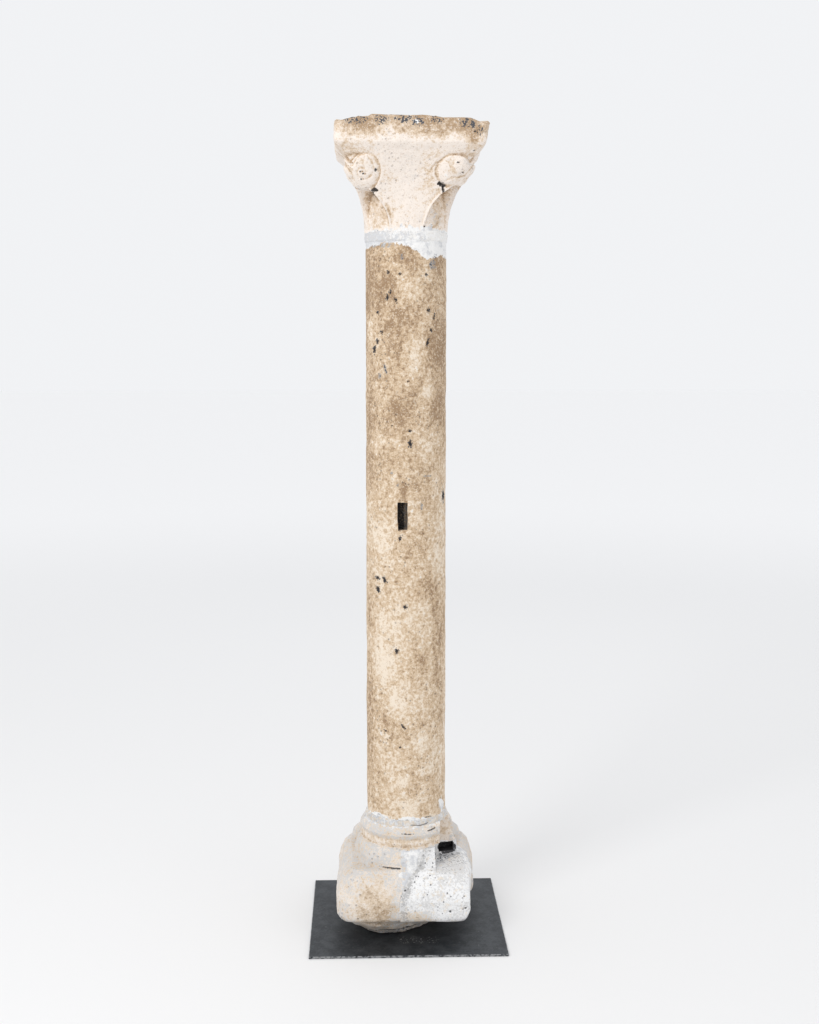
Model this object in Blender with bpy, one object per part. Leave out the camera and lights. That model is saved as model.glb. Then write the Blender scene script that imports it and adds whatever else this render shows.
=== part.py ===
"""A worn limestone column, about 1.9 m tall, on its steel foot plate.

The capital grows from round to square: broad smooth leaves curl out under each corner of a square
abacus, with a sunk pointed panel and a drilled hole below each curl. The round shaft has an old
mortise in its front. The moulded base stands on a worn square plinth, whose broken front right
corner is made good in plaster, with a socket cut across it. Mortar joints the three stones.
Metres, +Z up, the front faces -Y, and the origin is under the middle of the foot plate.
"""

import math

import bmesh
import bpy
from mathutils import Matrix

# Steel foot plate
PLATE_SIDE = 0.457
PLATE_THICK = 0.005
PLATE_BEVEL = 0.0008

# Room left between one piece and the next, so that their faces stay apart
JOINT_GAP = 0.0003

# Shaft, a little wider at its head, and the mortise in its front
SHAFT_RADIUS = 0.0945
SHAFT_SPREAD = 0.0025
SHAFT_LENGTH = 1.375
MORTISE_WIDTH = 0.022
MORTISE_HEIGHT = 0.066
MORTISE_DEPTH = 0.050
MORTISE_LEFT = 0.0107
MORTISE_ABOVE_FOOT = 0.7243

# Mortar beds under and over the shaft
FOOT_MORTAR_THICK = 0.010
NECK_MORTAR_THICK = 0.018
MORTAR_PROUD = 0.0015

# Plinth: a square block with round corners, broken away underneath
PLINTH_SIDE = 0.332
PLINTH_CORNER = 0.048
PLINTH_BACK_CORNER = 0.026
PLINTH_BACK_RIGHT_FULL = 0.009
PLINTH_HEIGHT = 0.157
PLINTH_SHOULDER = 0.034
UNDERSIDE_RISE = 0.045
UNDERSIDE_INSET = 0.074
FOOT_ROUND = 0.012
LUMP_PROUD = 0.014
LUMP_AT = math.radians(-112)

# Mouldings of the base, upwards from the plinth, with a spur over each back corner
LEDGE_RISE = 0.004
LOWER_ROLL_HEIGHT = 0.043
LOWER_ROLL_SPREAD = 0.016
SPUR_SHARE = 0.88
FRONT_SPUR_SHARE = 0.15
SPUR_FILL = 0.3
DRUM_PROUD = 0.0135
DRUM_HEIGHT = 0.017
DRUM_HOLLOW = 0.0015
UPPER_ROLL_PROUD = 0.0165
UPPER_ROLL_HEIGHT = 0.031
SEAT_PROUD = 0.004

# Socket cut across the front right of the base, and the deep hole at its back
SOCKET_FLOOR_DROP = 0.006
SOCKET_LEFT_LOW = 0.066
SOCKET_LEFT_HIGH = 0.079
SOCKET_BACK = 0.017
SOCKET_STEP = 0.002
HOLE_WIDTH = 0.033
HOLE_DEPTH = 0.038
HOLE_HEIGHT_LEFT = 0.018
HOLE_HEIGHT_RIGHT = 0.030

# Plaster corner: where the break starts on the front face and ends on the right face
BREAK_FRONT_X = -0.018
BREAK_SIDE_Y = 0.030
PLASTER_TOP_DROP = 0.003
PLASTER_INSET_FRONT = 0.022
PLASTER_INSET_BACK = 0.009

# Capital; the heights of its carving are shares of the height of its bell
NECK_PROUD = 0.0025
BELL_HEIGHT = 0.176
FACE_FLARE = 0.062
LEAF_PROUD = 0.003
LEAF_EDGE_FLARE = 0.0155
CURL_START_SHARE = 0.49
BACK_CURL_START_SHARE = 0.68
CURL_REACH = 0.040
PANEL_SHARE = 0.608
PANEL_HALF_ANGLE = math.radians(21.5)
PANEL_SINK = 0.0015
PANEL_FLARE = 0.0095
RIDGE_RADIUS = 0.0032
SCROLL_ANGLE = math.radians(38.5)
SCROLL_TURN = math.radians(9)
SCROLL_UP_SHARE = 0.80
SCROLL_RADIUS = 0.026
BACK_SCROLL_RADIUS = 0.019
SCROLL_RAISE = 0.0045
DRILL_UP_SHARE = 0.557
DRILL_WIDTH = 0.026
DRILL_HEIGHT_SHARE = 0.102
DRILL_DEPTH = 0.026
GROOVE_WIDTH = 0.004
GROOVE_SHARE = 0.193
ABACUS_SIDE = 0.357
ABACUS_CHAMFER_HEIGHT = 0.025
ABACUS_CHAMFER_IN = 0.018
ABACUS_HEIGHT = 0.0605
ABACUS_SHIFT = 0.0105
ABACUS_SHIFT_FROM_SHARE = 0.40
ABACUS_CORNER_POWER = 22.0
TOP_EDGE_ROUND = 0.004
TOP_WEAR = 0.012
TOP_CORNER_WEAR = 0.012
TOP_FLAT_SHARE = 0.62

# How finely each stone is cut into faces, and how deep the slow waves of its wear are
PLINTH_SEGMENTS = 56
ROUND_SEGMENTS = 48
QUARTER_SEGMENTS = 14
RIDGE_SEGMENTS = 6
SCROLL_SEGMENTS = 16
SHAFT_STEPS = 5
WEAR = 0.0016

QUARTER = math.pi / 2
EIGHTH = math.pi / 4

# Heights of the stack, worked out upwards from the floor
BASE_FOOT = PLATE_THICK + JOINT_GAP
LEDGE = PLINTH_HEIGHT + LEDGE_RISE
DRUM_FOOT = LEDGE + LOWER_ROLL_HEIGHT
UPPER_ROLL_FOOT = DRUM_FOOT + DRUM_HEIGHT
BASE_HEIGHT = UPPER_ROLL_FOOT + UPPER_ROLL_HEIGHT
FOOT_MORTAR_FOOT = BASE_FOOT + BASE_HEIGHT + JOINT_GAP
SHAFT_FOOT = FOOT_MORTAR_FOOT + FOOT_MORTAR_THICK + JOINT_GAP
NECK_MORTAR_FOOT = SHAFT_FOOT + SHAFT_LENGTH + JOINT_GAP
CAPITAL_FOOT = NECK_MORTAR_FOOT + NECK_MORTAR_THICK + JOINT_GAP
ABACUS_FOOT = BELL_HEIGHT + ABACUS_CHAMFER_HEIGHT
CAPITAL_HEIGHT = ABACUS_FOOT + ABACUS_HEIGHT

# Heights of the capital's carving above its own foot
CURL_START = BELL_HEIGHT * CURL_START_SHARE
BACK_CURL_START = BELL_HEIGHT * BACK_CURL_START_SHARE
PANEL_HEIGHT = BELL_HEIGHT * PANEL_SHARE
SCROLL_UP = BELL_HEIGHT * SCROLL_UP_SHARE
DRILL_UP = BELL_HEIGHT * DRILL_UP_SHARE
DRILL_HEIGHT = BELL_HEIGHT * DRILL_HEIGHT_SHARE
GROOVE_LENGTH = BELL_HEIGHT * GROOVE_SHARE
ABACUS_SHIFT_FROM = BELL_HEIGHT * ABACUS_SHIFT_FROM_SHARE

# Radii that neighbouring stones share
SHAFT_HEAD_RADIUS = SHAFT_RADIUS + SHAFT_SPREAD
SEAT_RADIUS = SHAFT_RADIUS + SEAT_PROUD
DRUM_RADIUS = SHAFT_RADIUS + DRUM_PROUD
UPPER_ROLL_RADIUS = SHAFT_RADIUS + UPPER_ROLL_PROUD
NECK_RADIUS = SHAFT_HEAD_RADIUS + NECK_PROUD

LIMESTONE = ("limestone", (0.60, 0.47, 0.32), 0.9, 0.0)
PALE_LIMESTONE = ("pale_limestone", (0.71, 0.62, 0.50), 0.9, 0.0)
MORTAR = ("lime_mortar", (0.68, 0.67, 0.65), 0.95, 0.0)
PLASTER = ("white_plaster", (0.82, 0.81, 0.78), 0.95, 0.0)
STEEL = ("dark_steel", (0.07, 0.07, 0.075), 0.5, 0.9)


def clear_scene():
    """Removes whatever the scene holds."""
    for thing in list(bpy.data.objects):
        bpy.data.objects.remove(thing)


def finish_material(finish):
    """A Principled material from its name, colour, roughness and metallic value."""
    name, colour, roughness, metallic = finish
    material = bpy.data.materials.get(name) or bpy.data.materials.new(name)
    material.use_nodes = True
    shader = material.node_tree.nodes["Principled BSDF"]
    shader.inputs["Base Color"].default_value = (*colour, 1.0)
    shader.inputs["Roughness"].default_value = roughness
    shader.inputs["Metallic"].default_value = metallic
    return material


def place(name, mesh, finish, height=0.0):
    """Links a mesh as a named piece, raised to its height."""
    piece = bpy.data.objects.new(name, mesh)
    bpy.context.scene.collection.objects.link(piece)
    piece.location.z = height
    if not mesh.materials:
        mesh.materials.append(finish_material(finish))
    return piece


def skin(name, rings):
    """A closed mesh through rings of points, lowest ring first, with a flat face on each end."""
    shape = bmesh.new()
    loops = [[shape.verts.new(point) for point in ring] for ring in rings]
    count = len(loops[0])
    for low, high in zip(loops, loops[1:]):
        for i in range(count):
            j = (i + 1) % count
            shape.faces.new((low[i], low[j], high[j], high[i]))
    shape.faces.new(reversed(loops[0]))
    shape.faces.new(loops[-1])
    mesh = bpy.data.meshes.new(name)
    shape.to_mesh(mesh)
    shape.free()
    mesh.shade_smooth()
    mesh.set_sharp_from_angle(angle=math.radians(35))
    return mesh


def ring(height, radius, angles):
    """One ring of points: radius is a function of the angle."""
    return [(radius(a) * math.cos(a), radius(a) * math.sin(a), height) for a in angles]


def even_angles(count):
    """Angles in equal steps round the axis."""
    return [2 * math.pi * i / count for i in range(count)]


def corner_angles(per_quarter):
    """Angles round the axis, closer together near the four diagonals."""
    found = []
    for quarter in range(4):
        for i in range(per_quarter):
            off = 2 * i / per_quarter - 1
            bend = math.copysign(abs(off) ** 1.35, off)
            found.append(quarter * QUARTER + EIGHTH * (1 + bend))
    return found


def smooth_step(low, high, value):
    """0 below low, 1 above high, and a smooth rise between them."""
    share = min(1.0, max(0.0, (value - low) / (high - low)))
    return share * share * (3 - 2 * share)


def bump(value, width):
    """1 at zero, falling smoothly to 0 at width on either side."""
    return 1 - smooth_step(0, width, abs(value))


def turned_by(angle, other):
    """The smallest turn from one angle to another, without its sign."""
    return abs((angle - other + math.pi) % (2 * math.pi) - math.pi)


def from_face(angle):
    """The angle from the middle of the nearest of the four faces, from 0 to 45 degrees."""
    return abs((angle + EIGHTH) % QUARTER - EIGHTH)


def rounded_square(half, corner, angle):
    """Distance from the centre to the edge of a square with round corners."""
    across, along = math.cos(from_face(angle)), math.sin(from_face(angle))
    straight = half / across
    inner = half - min(corner, half)
    if straight * along <= inner:
        return straight
    toward = inner * (across + along)
    return toward + math.sqrt(max(0.0, toward**2 - 2 * inner**2 + min(corner, half) ** 2))


def worn(angle, height):
    """How far weathering has moved the surface at a place: a slow, uneven wave."""
    wave = math.sin(3 * angle + 31 * height) + 0.7 * math.sin(5 * angle - 47 * height + 1.3)
    return WEAR * 0.5 * (wave + 0.5 * math.sin(9 * angle + 83 * height + 0.4))


def spur_share(angle):
    """How much of a corner spur is left in a direction: full at the back corners, worn down in front."""
    kept = SPUR_SHARE if math.sin(angle) > 0 else FRONT_SPUR_SHARE
    return kept * smooth_step(0.4, 0.95, math.tan(from_face(angle)))


def plinth_radius(angle, inset):
    """The plan of the plinth, an inset in from its widest, and less so below a spur."""
    half = PLINTH_SIDE / 2 - inset * (1 - SPUR_FILL * spur_share(angle))
    corner = PLINTH_BACK_CORNER if math.sin(angle) > 0 else PLINTH_CORNER
    full = PLINTH_BACK_RIGHT_FULL * bump(turned_by(angle, EIGHTH), 0.6)
    return rounded_square(half, corner, angle) + full


def plinth_ring(height, inset, angles):
    """A ring of the plinth, with its slow waves of wear."""
    return ring(height, lambda a: plinth_radius(a, inset) + worn(a, height), angles)


def underside_rings(angles):
    """The broken underside: the patch that it stands on, full at the front left and hollow elsewhere."""
    patch = PLINTH_SIDE / 2 - UNDERSIDE_INSET
    rings = []
    for share in (0.0, 0.4, 0.75):

        def radius(a, share=share):
            full = bump(turned_by(a, LUMP_AT), 0.75)
            half = patch + LUMP_PROUD * full * (1 - share)
            half += (UNDERSIDE_INSET - FOOT_ROUND) * share ** (2.6 - 1.9 * full)
            return rounded_square(half, PLINTH_CORNER, a) + 2 * worn(a, share)

        rings.append(ring(UNDERSIDE_RISE * share, radius, angles))
    return rings


def plinth_rings(angles):
    """The faces of the plinth, rounded at the foot and more so at the top."""
    upright = PLINTH_HEIGHT - UNDERSIDE_RISE
    foot = ((0.00, 1.0), (0.09, 0.3), (0.22, 0.0))
    shoulder = ((0.45, 0.00), (0.56, 0.09), (0.69, 0.24), (0.82, 0.42), (0.94, 0.66), (1.00, 1.00))
    stations = [(up, FOOT_ROUND * inward) for up, inward in foot]
    stations += [(up, PLINTH_SHOULDER * inward) for up, inward in shoulder]
    return [plinth_ring(UNDERSIDE_RISE + upright * up, inset, angles) for up, inset in stations]


def spur(angle):
    """How far the foot of the lower roll is drawn out over a corner, beyond its round."""
    beyond = plinth_radius(angle, PLINTH_SHOULDER) - DRUM_RADIUS - LOWER_ROLL_SPREAD
    return beyond * spur_share(angle)


def lower_roll_rings(angles):
    """The flattened lower roll: a quarter round, drawn out at the corners into soft spurs."""
    rings = []
    for share in (0.0, 0.25, 0.5, 0.75, 1.0):
        turn = share * QUARTER
        height = LEDGE + LOWER_ROLL_HEIGHT * math.sin(turn)

        def radius(a, turn=turn, height=height):
            out = (LOWER_ROLL_SPREAD + spur(a)) * math.cos(turn)
            return DRUM_RADIUS + out + 0.5 * worn(a, height)

        rings.append(ring(height, radius, angles))
    return rings


def drum_and_upper_roll_rings(angles):
    """The hollowed drum, then the upper roll, up to the seat of the shaft."""
    stations = [
        (DRUM_FOOT + DRUM_HEIGHT * 0.45, DRUM_RADIUS - DRUM_HOLLOW),
        (UPPER_ROLL_FOOT, DRUM_RADIUS - DRUM_HOLLOW * 0.7),
    ]
    for share, out in ((0.18, 0.75), (0.36, 1.0), (0.58, 0.85), (0.80, 0.45), (1.0, 0.0)):
        radius = SEAT_RADIUS + (UPPER_ROLL_RADIUS - SEAT_RADIUS) * out
        stations.append((UPPER_ROLL_FOOT + UPPER_ROLL_HEIGHT * share, radius))
    return [
        ring(height, lambda a, r=r, h=height: r + 0.4 * worn(a, h), angles)
        for height, r in stations
    ]


def base_form():
    """The whole base as it was carved, before the break and the socket."""
    angles = even_angles(PLINTH_SEGMENTS)
    rings = underside_rings(angles) + plinth_rings(angles)
    rings += lower_roll_rings(angles) + drum_and_upper_roll_rings(angles)
    return skin("base_form", rings)


def helper(mesh):
    """Links a mesh that only cuts or joins, and isn't rendered."""
    tool = bpy.data.objects.new(mesh.name, mesh)
    bpy.context.scene.collection.objects.link(tool)
    tool.hide_render = True
    tool.display_type = "WIRE"
    return tool


def prism(name, outline, low, high, axis="Z"):
    """A cutter: an outline pushed from low to high, upwards from XY or backwards from XZ."""
    shape = bmesh.new()
    at = (lambda p, t: (p[0], p[1], t)) if axis == "Z" else (lambda p, t: (p[0], t, p[1]))
    ends = [[shape.verts.new(at(p, t)) for p in outline] for t in (low, high)]
    count = len(outline)
    for i in range(count):
        j = (i + 1) % count
        shape.faces.new((ends[0][i], ends[0][j], ends[1][j], ends[1][i]))
    shape.faces.new(reversed(ends[0]))
    shape.faces.new(ends[1])
    bmesh.ops.recalc_face_normals(shape, faces=shape.faces)
    mesh = bpy.data.meshes.new(name)
    shape.to_mesh(mesh)
    shape.free()
    return helper(mesh)


def boolean(piece, cutter, operation="DIFFERENCE"):
    """Cuts a piece with a cutter, or keeps only what they share."""
    cut = piece.modifiers.new(cutter.name, "BOOLEAN")
    cut.operation = operation
    cut.object = cutter


def break_cutter(name, offset):
    """The corner beyond the break, as a prism whose slanted face is moved outwards by the offset."""
    half = PLINTH_SIDE / 2
    reach = PLINTH_SIDE
    start, end = (BREAK_FRONT_X, -half), (half, BREAK_SIDE_Y)
    along = (end[0] - start[0], end[1] - start[1])
    length = math.hypot(*along)
    way = (along[0] / length, along[1] / length)
    out = (way[1], -way[0])
    a = tuple(start[i] - way[i] * reach + out[i] * offset for i in (0, 1))
    b = tuple(end[i] + way[i] * reach + out[i] * offset for i in (0, 1))
    c = tuple(b[i] + out[i] * reach for i in (0, 1))
    d = tuple(a[i] + out[i] * reach for i in (0, 1))
    top = BASE_FOOT + DRUM_FOOT - PLASTER_TOP_DROP - offset
    return prism(name, (a, b, c, d), BASE_FOOT - PLATE_THICK, top)


def plaster_trim_cutter():
    """The strip by which the plaster's right face stays inside the line of the stone's."""
    half, far = PLINTH_SIDE / 2, PLINTH_SIDE
    front, back = half - PLASTER_INSET_FRONT, half - PLASTER_INSET_BACK
    outline = ((front, -far), (far, -far), (far, half), (back, half), (back, 0.0), (front, -half))
    return prism("plaster_trim_cutter", outline, 0.0, BASE_FOOT + BASE_HEIGHT)


def socket_cutters():
    """The stepped socket across the front right of the base, and the hole at its back."""
    floor = BASE_FOOT + LEDGE - SOCKET_FLOOR_DROP
    drum_foot = BASE_FOOT + DRUM_FOOT
    top = BASE_FOOT + BASE_HEIGHT
    far = PLINTH_SIDE
    wide = ((SOCKET_LEFT_LOW, floor), (far, floor), (far, drum_foot), (SOCKET_LEFT_LOW, drum_foot))
    low_cut = drum_foot - LOWER_ROLL_HEIGHT / 3
    high_cut = top + UPPER_ROLL_HEIGHT
    narrow = (
        (SOCKET_LEFT_HIGH, low_cut),
        (far, low_cut),
        (far, high_cut),
        (SOCKET_LEFT_HIGH, high_cut),
    )
    left = SOCKET_LEFT_HIGH + SOCKET_STEP
    right = left + HOLE_WIDTH
    hole_floor = floor + SOCKET_STEP
    hole = (
        (left, hole_floor),
        (right, hole_floor),
        (right, hole_floor + HOLE_HEIGHT_RIGHT),
        (left, hole_floor + HOLE_HEIGHT_LEFT),
    )
    return (
        prism("socket_low_cutter", wide, -far, -SOCKET_BACK, "Y"),
        prism("socket_high_cutter", narrow, -far, -SOCKET_BACK + SOCKET_STEP, "Y"),
        prism("hole_cutter", hole, -SOCKET_BACK - HOLE_WIDTH, -SOCKET_BACK + HOLE_DEPTH, "Y"),
    )


def make_base():
    """The base stone with its corner broken off, and the plaster that makes it good."""
    form = base_form()
    plaster_form = form.copy()
    plaster_form.name = "plaster_form"
    stone = place("base_stone", form, PALE_LIMESTONE, BASE_FOOT)
    plaster = place("base_plaster_corner", plaster_form, PLASTER, BASE_FOOT)
    boolean(stone, break_cutter("break_cutter", 0.0))
    boolean(plaster, break_cutter("plaster_cutter", JOINT_GAP), "INTERSECT")
    boolean(plaster, plaster_trim_cutter())
    for cutter in socket_cutters():
        boolean(stone, cutter)
        boolean(plaster, cutter)


def mortar_bed(name, low_radius, high_radius, thick, height):
    """A mortar joint: a thin disc that bulges out a little between the two stones."""
    middle = (low_radius + high_radius) / 2
    stations = ((0.0, low_radius), (0.3, low_radius + MORTAR_PROUD))
    stations += ((0.7, middle + MORTAR_PROUD), (1.0, high_radius))
    angles = even_angles(ROUND_SEGMENTS)
    rings = [
        ring(thick * up, lambda a, r=r, up=up: r + 0.3 * worn(a, up), angles)
        for up, r in stations
    ]
    return place(name, skin(name, rings), MORTAR, height)


def make_shaft():
    """The plain round shaft with its mortise."""
    angles = even_angles(ROUND_SEGMENTS)
    rings = []
    for step in range(SHAFT_STEPS + 1):
        share = step / SHAFT_STEPS
        radius = SHAFT_RADIUS + SHAFT_SPREAD * share
        height = SHAFT_LENGTH * share
        rings.append(ring(height, lambda a, r=radius, s=share: r + 0.3 * worn(a, s), angles))
    shaft = place("shaft_stone", skin("shaft_stone", rings), LIMESTONE, SHAFT_FOOT)
    left = -MORTISE_LEFT - MORTISE_WIDTH / 2
    right = left + MORTISE_WIDTH
    low = SHAFT_FOOT + MORTISE_ABOVE_FOOT - MORTISE_HEIGHT / 2
    high = low + MORTISE_HEIGHT
    outline = ((left, low), (right, low), (right, high), (left, high))
    back = MORTISE_DEPTH - SHAFT_RADIUS
    boolean(shaft, prism("mortise_cutter", outline, -2 * SHAFT_RADIUS, back, "Y"))


def super_square(half, power, angle):
    """Distance from the centre to a squared circle: power 2 is round, and a high power is square."""
    turn = from_face(angle)
    return half * (math.cos(turn) ** power + math.sin(turn) ** power) ** (-1 / power)


def leaf_radius(angle, height):
    """The leafy bell without its panels: round at the neck, with corners that sweep out above."""
    share = height / BELL_HEIGHT
    middle = NECK_RADIUS + FACE_FLARE * share**2.2
    start = BACK_CURL_START if math.sin(angle) > 0 else CURL_START
    curl = max(0.0, height - start) / (BELL_HEIGHT - start)
    corner = NECK_RADIUS + LEAF_PROUD + LEAF_EDGE_FLARE * min(1.0, height / start) ** 1.5
    corner += CURL_REACH * (1 - (1 - curl) ** 1.5)
    sweep = smooth_step(0.2, 0.85, math.tan(from_face(angle)))
    half = middle + (corner - middle) * sweep
    return super_square(half, 2 + 7 * share**2, angle)


def polar(radius, angle, height):
    """The point at a radius, an angle and a height above the floor."""
    return (radius * math.cos(angle), radius * math.sin(angle), height)


def panel_spread(rise):
    """Half the angle that a pointed panel spans, at a share of its height."""
    return PANEL_HALF_ANGLE * max(0.03, 1 - max(0.0, rise) ** 2.1) ** 0.85


def panel_cutter(corner):
    """The space in front of one sunk panel, a pointed arch as wide as the gap between two leaves."""
    rings = []
    for rise in (-0.05, 0.0, 0.2, 0.4, 0.58, 0.72, 0.84, 0.93, 0.98, 1.0):
        spread = panel_spread(rise)
        floor = NECK_RADIUS - PANEL_SINK + PANEL_FLARE * rise
        height = CAPITAL_FOOT + PANEL_HEIGHT * rise
        outer = [polar(ABACUS_SIDE, corner + spread * t, height) for t in (-1, 1)]
        inner = [polar(floor, corner + spread * t, height) for t in (1, 0.4, -0.4, -1)]
        rings.append(outer + inner)
    return helper(skin("panel_cutter", rings))


def ridge(corner, side):
    """The raised edge of a leaf, up one side of a panel, its rings at heights between the panel's."""
    rings = []
    for rise in (0.03, 0.13, 0.31, 0.50, 0.66, 0.79, 0.89, 0.965):
        height = PANEL_HEIGHT * rise
        thick = RIDGE_RADIUS * (0.55 + 0.45 * rise)
        angle = corner + side * (panel_spread(rise) + 1.2 * thick / NECK_RADIUS)
        x, y, z = polar(leaf_radius(angle, height), angle, CAPITAL_FOOT + height)
        turns = even_angles(RIDGE_SEGMENTS)
        rings.append([(x + thick * math.cos(t), y + thick * math.sin(t), z) for t in turns])
    return helper(skin("ridge", rings))


def drill_cutter(corner):
    """The drilled hole under a curl, three-cornered, with the groove that runs down from it."""
    half, narrow = DRILL_WIDTH / 2, GROOVE_WIDTH / 2
    foot = CAPITAL_FOOT + DRILL_UP - DRILL_HEIGHT / 2
    outline = (
        (-narrow, foot - GROOVE_LENGTH),
        (narrow, foot - GROOVE_LENGTH),
        (narrow, foot),
        (half, foot),
        (0.0, foot + DRILL_HEIGHT),
        (-half, foot),
        (-narrow, foot),
    )
    back = NECK_RADIUS + PANEL_FLARE - DRILL_DEPTH
    cutter = prism("drill_cutter", outline, -ABACUS_SIDE, -back, "Y")
    cutter.rotation_euler.z = corner + QUARTER
    return cutter


def scroll(face, side):
    """One face of a curl: a disc with a raised rim and a raised eye, lying on the leaf's slope."""
    angle = face + side * SCROLL_ANGLE
    size = BACK_SCROLL_RADIUS if math.sin(angle) > 0 else SCROLL_RADIUS
    step = size / 2
    gain = leaf_radius(angle, SCROLL_UP + step) - leaf_radius(angle, SCROLL_UP - step)
    slope = math.atan2(gain, 2 * step)
    rim = ((1.0, 0.25), (0.9, 1.0), (0.74, 1.0), (0.62, 0.12))
    eye = ((0.36, 0.12), (0.26, 1.0))
    stations = [(size * 0.9, -size * 0.45)]
    stations += [(size * out, SCROLL_RAISE * up) for out, up in rim + eye]
    turns = even_angles(SCROLL_SEGMENTS)
    rings = [[(reach * math.cos(t), reach * math.sin(t), up) for t in turns] for reach, up in stations]
    mesh = skin("scroll", rings)
    x, y, z = polar(leaf_radius(angle, SCROLL_UP), angle, CAPITAL_FOOT + SCROLL_UP)
    place_on = Matrix.Translation((x + abacus_shift(SCROLL_UP), y, z))
    turn = Matrix.Rotation(face + side * SCROLL_TURN, 4, "Z")
    mesh.transform(place_on @ turn @ Matrix.Rotation(QUARTER + slope, 4, "Y"))
    return helper(mesh)


def abacus_shift(height):
    """How far the worn stone stands over to the right at a height."""
    above = max(0.0, height - ABACUS_SHIFT_FROM)
    return ABACUS_SHIFT * above / (CAPITAL_HEIGHT - ABACUS_SHIFT_FROM)


def top_dip(angle):
    """How far the worn top edge lies below the flat of the top."""
    right = bump(turned_by(angle, -EIGHTH), 0.75)
    left = bump(turned_by(angle, EIGHTH - math.pi), 0.3)
    waves = 0.06 * (2 + math.sin(7 * angle + 0.8) + math.sin(3 * angle))
    return TOP_WEAR * (0.1 + 0.6 * right + waves) + TOP_CORNER_WEAR * left


def shifted(points, height):
    """A ring of points moved over to the right as far as the stone is at that height."""
    return [(x + abacus_shift(height), y, z) for x, y, z in points]


def abacus_ring(height, half, angles, dip_share):
    """A ring of the abacus, square and worn, with its own share of the dips in the top edge."""

    def radius(a):
        return super_square(half, ABACUS_CORNER_POWER, a) + 1.4 * worn(a, height)

    points = ring(height, radius, angles)
    points = [(x, y, z - dip_share * top_dip(a)) for (x, y, z), a in zip(points, angles)]
    return shifted(points, height)


def capital_form():
    """The capital without its panels and curls: bell, swept corners and worn square abacus."""
    angles = corner_angles(QUARTER_SEGMENTS)
    rings = []
    for rise in (0.0, 0.2, 0.38, 0.52, 0.61, 0.70, 0.79, 0.87, 0.94, 0.985):
        height = BELL_HEIGHT * rise
        points = ring(height, lambda a, h=height: leaf_radius(a, h) + 0.4 * worn(a, h), angles)
        rings.append(shifted(points, height))
    half = ABACUS_SIDE / 2
    rings.append(abacus_ring(BELL_HEIGHT, half - ABACUS_CHAMFER_IN, angles, 0.0))
    rings.append(abacus_ring(ABACUS_FOOT, half, angles, 0.0))
    rings.append(abacus_ring(ABACUS_FOOT + ABACUS_HEIGHT * 0.5, half, angles, 0.0))
    rings.append(abacus_ring(CAPITAL_HEIGHT - TOP_EDGE_ROUND, half, angles, 1.0))
    rings.append(abacus_ring(CAPITAL_HEIGHT, half - 2 * TOP_EDGE_ROUND, angles, 0.8))
    rings.append(abacus_ring(CAPITAL_HEIGHT, half * TOP_FLAT_SHARE, angles, 0.0))
    return skin("capital_form", rings)


def make_capital():
    """The capital, with its curls and leaf edges joined on, and its panels and drilled holes cut out."""
    capital = place("capital_stone", capital_form(), PALE_LIMESTONE, CAPITAL_FOOT)
    for quarter in range(4):
        face = quarter * QUARTER
        corner = face + EIGHTH
        for side in (-1, 1):
            boolean(capital, scroll(face, side), "UNION")
            boolean(capital, ridge(corner, side), "UNION")
        boolean(capital, panel_cutter(corner))
        boolean(capital, drill_cutter(corner))


def make_plate():
    """The square steel foot plate."""
    bpy.ops.mesh.primitive_cube_add(size=1.0, location=(0, 0, PLATE_THICK / 2))
    plate = bpy.context.object
    plate.name = "steel_foot_plate"
    plate.scale = (PLATE_SIDE, PLATE_SIDE, PLATE_THICK)
    bpy.ops.object.transform_apply(location=False, rotation=False, scale=True)
    edge = plate.modifiers.new("worn_edge", "BEVEL")
    edge.width = PLATE_BEVEL
    edge.segments = 1
    plate.data.materials.append(finish_material(STEEL))


def main():
    """Builds the column from the floor up."""
    clear_scene()
    make_plate()
    make_base()
    mortar_bed("foot_mortar_bed", SEAT_RADIUS, SHAFT_RADIUS, FOOT_MORTAR_THICK, FOOT_MORTAR_FOOT)
    make_shaft()
    mortar_bed(
        "neck_mortar_bed", SHAFT_HEAD_RADIUS, NECK_RADIUS, NECK_MORTAR_THICK, NECK_MORTAR_FOOT
    )
    make_capital()


main()
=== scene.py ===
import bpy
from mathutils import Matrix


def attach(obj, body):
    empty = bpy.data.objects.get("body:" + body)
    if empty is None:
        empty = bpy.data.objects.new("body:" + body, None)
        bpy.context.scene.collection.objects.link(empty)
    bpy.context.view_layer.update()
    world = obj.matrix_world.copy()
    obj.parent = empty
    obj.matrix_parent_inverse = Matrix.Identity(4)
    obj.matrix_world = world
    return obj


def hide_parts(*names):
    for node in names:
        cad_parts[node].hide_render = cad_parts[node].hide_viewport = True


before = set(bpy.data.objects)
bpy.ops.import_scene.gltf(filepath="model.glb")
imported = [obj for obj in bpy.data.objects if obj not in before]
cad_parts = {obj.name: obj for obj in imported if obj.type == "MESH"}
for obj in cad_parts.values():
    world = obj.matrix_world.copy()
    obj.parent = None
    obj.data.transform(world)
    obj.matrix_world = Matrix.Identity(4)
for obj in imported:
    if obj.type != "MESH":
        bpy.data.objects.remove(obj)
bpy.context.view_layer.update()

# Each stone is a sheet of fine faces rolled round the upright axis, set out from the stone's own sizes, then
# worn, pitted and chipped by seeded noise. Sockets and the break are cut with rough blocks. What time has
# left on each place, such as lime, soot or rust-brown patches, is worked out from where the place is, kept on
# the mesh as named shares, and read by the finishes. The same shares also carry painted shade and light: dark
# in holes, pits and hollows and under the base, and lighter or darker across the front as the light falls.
"""A weathered limestone column on its steel foot plate, dressed for a studio picture.

Each stone is a sheet of fine faces rolled round the upright axis, set out from the stone's own sizes,
then worn, pitted and chipped by seeded noise. Sockets and the break are cut with rough blocks. What
time has left on each place, such as lime, soot or rust-brown patches, is worked out from where the
place is, kept on the mesh as named shares, and read by the finishes.
"""

import logging
import math
from dataclasses import dataclass
from enum import Enum
from typing import Callable

import bpy
import numpy as np
from mathutils import Vector

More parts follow.
